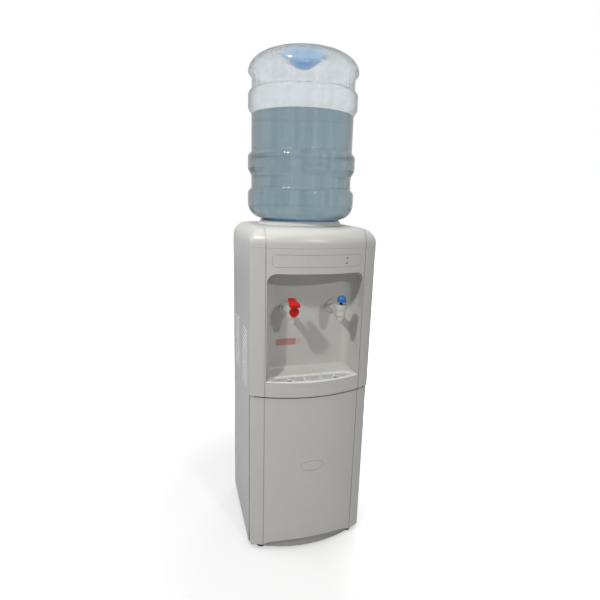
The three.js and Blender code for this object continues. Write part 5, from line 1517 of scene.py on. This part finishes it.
# %% Latch
LATCH_Z, LATCH_FRONT, LATCH_REAR = 10.5, -18.6, -14.6
LATCH_RADII = [0.8, 0.5, 1.2, 1.0]
GAP_HALF, CHEEK_OUT, CHEEK_LOW, CHEEK_RADIUS, LATCH_BORE = 3.4, 5.5, 16.25, 2.2, 1.6


def latch():
    front, rear = LATCH_FRONT, LATCH_REAR
    line = [
        (0, front + 1.6), (9.1, front + 1.6), (9.7, front), (11.5, front), (11.5, rear), (0, rear),
    ]
    disc = turned_y(filleted(line, LATCH_RADII, 5), 64, 0, LATCH_Z)
    disc = cut(disc, block(-GAP_HALF, GAP_HALF, front - 1, rear + 1, 19.1, 60))
    for near, far in ((-CHEEK_OUT, -GAP_HALF), (GAP_HALF, CHEEK_OUT)):
        eye = rod_x(CHEEK_RADIUS, near, far, 24, LATCH_PIN_Y, LATCH_PIN_Z)
        disc = join(disc, eye, block(near, far, front, rear, CHEEK_LOW, LATCH_PIN_Z))
    disc = cut(disc, rod_x(LATCH_BORE, -40, 40, 20, LATCH_PIN_Y, LATCH_PIN_Z))
    name, replaced = "hot_latch_disc", "hot_tap_latch"
    return placed_tap(disc, name, -TAP_X, "hot_latch", replaced, RED, 0.3)


note(latch())

# %% [markdown]
# ## Pieces kept from the CAD model
# The sheets, the base, the hinges and the works inside are flat or small, and their CAD meshes
# are fine enough. Making them again would only add mistakes. They get their finishes here, a
# small rounding on their edges, and smooth shading.

# %% Kept pieces
KEPT_ROUNDING = 0.3
KEPT = {
    SHEET: ["side_panel_left", "side_panel_right", "back_panel", "cabinet_ceiling"],
    GREY: ["base_pan"],
    RUBBER: ["foot_front_left", "foot_front_right", "foot_rear_left", "foot_rear_right"],
    WHITE: ["door_liner", "drain_cap", "feed_probe", "hot_tap_nut", "cold_tap_nut"],
    STEEL: [
        "tank_shelf", "door_strike", "hinge_lower", "hinge_upper", "cold_tank", "hot_tank",
        "heater_band",
    ],
    ALUMINIUM: ["cold_block", "heat_sink"],
    FOAM: ["cold_tank_jacket", "hot_tank_jacket"],
    SILICONE: ["hot_hose", "cold_hose", "feed_hose", "drain_pipe"],
    DARK: ["door_magnet", "fan_frame", "fan_rotor", "power_supply", "cord_gland", "switch_housing"],
    RED: ["hot_switch"],
    GREEN: ["cold_switch"],
    CAP_BLUE: ["bottle_cap"],
}
for material, names in KEPT.items():
    for name in names:
        piece = nodes[name]
        piece.data.materials.clear()
        piece.data.materials.append(material)
        smooth(piece, KEPT_ROUNDING)

shown = [name for names in KEPT.values() for name in names]
hidden = [name for name, obj in nodes.items() if obj.hide_render]
print("kept", len(shown), "replaced", len(hidden), "of", len(nodes))
print("without a look", sorted(set(nodes) - set(shown) - set(hidden)))

# %% [markdown]
# ## Sills of the louvres
# Each side panel has two banks of louvres: slots with a blade that is pressed out of the sheet.
# The upper face of each blade catches the light and shows as a bright line in the dark slot. A
# brighter colour on the panel would light the whole sheet, so each slot gets a small sloping
# wedge, the sill, whose paler coat is a painted highlight. All wedges of a side are one heap.

# %% Sills of the louvres
SILL_OUT, SILL_IN, SILL_RISE, SILL_AWAY = 0.1, 1.9, 1.7, 0.02
LOUVRE_LOW, LOUVRE_PITCH, LOUVRE_ROWS = 442, 10, 15
LOUVRE_BANKS = ((-78, -4), (50, 124))


def louvre_sills(name, way):
    outer, inner = HALF - SILL_OUT, HALF - SILL_IN
    wedges = []
    for row in range(LOUVRE_ROWS):
        low = LOUVRE_LOW + LOUVRE_PITCH * row + SILL_AWAY
        outline = [(way * outer, low), (way * inner, low), (way * inner, low + SILL_RISE)]
        wedges += [prism_y(outline, front, rear) for front, rear in LOUVRE_BANKS]
    obj = heap(*wedges)
    # The wedges carry the painted highlight of the blades' lit upper faces.
    return dress(obj, "louvre_sills_" + name, "cabinet", None, PAINTED_HIGHLIGHT_SILL, 0.2)


note(louvre_sills("left", -1), louvre_sills("right", 1))

# %% [markdown]
# ## Floor
# The photograph shows the dispenser on a white ground with only a soft shadow at its foot. A
# white floor in the light would throw that light back up at the cabinet and wash it out. So the
# floor is mid-grey to the light, and glows for the camera alone, which the Light Path node tells
# apart. The glow grows with the distance from the object, which leaves the shadow visible, and it
# is stronger at the right, where the ground is whitest. Rays that come through the bottle see a
# glow too, or a dark band would lie under the water's level.

# %% Floor
FLOOR_HALF, FLOOR_THICK = 6000.0, 20
FLOOR_LOW, FLOOR_HIGH = (0.56, 0.56, 0.56), (0.58, 0.58, 0.58)
SEEN_GLOW, SEEN_FAR, SEEN_RIGHT = 0.41, 0.6, 0.35
THROUGH_GLOW, THROUGH_FAR = 0.25, 0.45
# Metres, from where each part of the glow begins to where it is full.
SEEN_SPAN, RIGHT_SPAN, THROUGH_SPAN = (0.35, 0.95), (0.0, 0.3), (0.6, 2.5)


def floor():
    half = FLOOR_HALF
    obj = prism([(-half, -half), (half, -half), (half, half), (-half, half)], -FLOOR_THICK, 0)
    recipe = Recipe(bpy.data.materials.new("floor"))
    tint = recipe.blend(recipe.noise(3, 2), FLOOR_LOW, FLOOR_HIGH)
    matt = recipe.add("BsdfDiffuse", {}, {"Color": tint}).outputs[0]
    path = recipe.add("LightPath", {}, {})
    seen, through = recipe.value(path, "Is Camera Ray"), recipe.value(path, "Is Transmission Ray")
    length = recipe.add("VectorMath", {"operation": "LENGTH"}, {0: recipe.place})
    away = recipe.value(length, "Value")
    x = recipe.value(recipe.add("SeparateXYZ", {}, {"Vector": recipe.place}), "X")
    bright = recipe.fade(away, *SEEN_SPAN) * SEEN_FAR + recipe.fade(x, *RIGHT_SPAN) * SEEN_RIGHT
    beyond = recipe.fade(away, *THROUGH_SPAN) * THROUGH_FAR
    glow = seen * (bright + SEEN_GLOW) + through * (beyond + THROUGH_GLOW)
    light = recipe.add("Emission", {}, {"Color": (1, 1, 1, 1), "Strength": glow}).outputs[0]
    obj.data.materials.append(recipe.close(recipe.add("AddShader", {}, {0: matt, 1: light})))
    obj.name = "floor"
    return obj


note(floor())

# %% [markdown]
# ## The world behind
# The background is white to the camera, but as a light it is weak, or the shadows in the recess
# would fill up. The Light Path node gives each kind of ray its own strength: full white for the
# camera, less for rays that pass through the bottle or that a glossy face mirrors, and a little
# for all the rest.

# %% The world behind
AROUND, SEEN, THROUGH, MIRRORED = 0.13, 0.87, 0.28, 0.4


def world():
    made = bpy.data.worlds.new("world")
    recipe = Recipe(made)
    path = recipe.add("LightPath", {}, {})
    seen = recipe.value(path, "Is Camera Ray")
    through = recipe.value(path, "Is Transmission Ray")
    mirrored = recipe.value(path, "Is Glossy Ray")
    strength = AROUND + seen * SEEN + through * THROUGH + mirrored * MIRRORED
    back = recipe.add("Background", {}, {"Color": (1, 1, 1, 1), "Strength": strength})
    recipe.add("OutputWorld", {}, {"Surface": back.outputs[0]})
    bpy.context.scene.world = made
    return made


print("nodes in the world", len(world().node_tree.nodes))

# %% [markdown]
# ## Lights
# The photograph has two pairs of hard shadows behind the taps, so two small lights stand in
# front, one at the left and one at the right. Large soft ones above, at the left and behind light
# the rest without shadows of their own. Each is a square area light that looks at a point. The
# soft ones are hidden from mirrored rays, or they would show as bright squares in the glossy
# cover.

# %% Lights
# Each light's place and aim in metres, its side in metres, its watts, its tint, and whether gloss
# mirrors it.
LIGHTS = {
    "light_top": ((0.0, -0.2, 3.0), (0, 0, 0.8), 1.6, 31, (0.97, 0.99, 1), False),
    "light_left": ((-1.62, -1.48, 2.57), (0, -0.1, 0.65), 0.16, 31, (1, 0.985, 0.96), True),
    "light_right": ((0.67, -2.48, 1.96), (0, -0.1, 0.65), 0.16, 14.5, (1, 0.985, 0.96), True),
    "light_side": ((-1.2, 0.2, 2.0), (0, 0, 0.8), 0.8, 11, (0.98, 1, 1), False),
    "light_back": ((1.3, 2.5, 1.9), (0, 0, 0.7), 1.6, 22, (0.98, 1, 1), False),
}


def area_light(name, place, aim, size, power, tint, mirrored):
    data = bpy.data.lights.new(name, "AREA")
    data.shape = "SQUARE"
    data.size = size
    data.energy = power
    data.color = tint
    obj = bpy.data.objects.new(name, data)
    bpy.context.scene.collection.objects.link(obj)
    obj.location = place
    obj.rotation_mode = "QUATERNION"
    obj.rotation_quaternion = (Vector(aim) - Vector(place)).to_track_quat("-Z", "Y")
    obj.visible_camera = False
    obj.visible_glossy = mirrored
    obj.visible_transmission = False
    return obj


for name, light in LIGHTS.items():
    print(area_light(name, *light).name, light[3], "W")

# %% [markdown]
# The Standard view shows a colour as it is written, so that white plastic stays white.

# %% View
bpy.context.scene.view_settings.view_transform = "Standard"
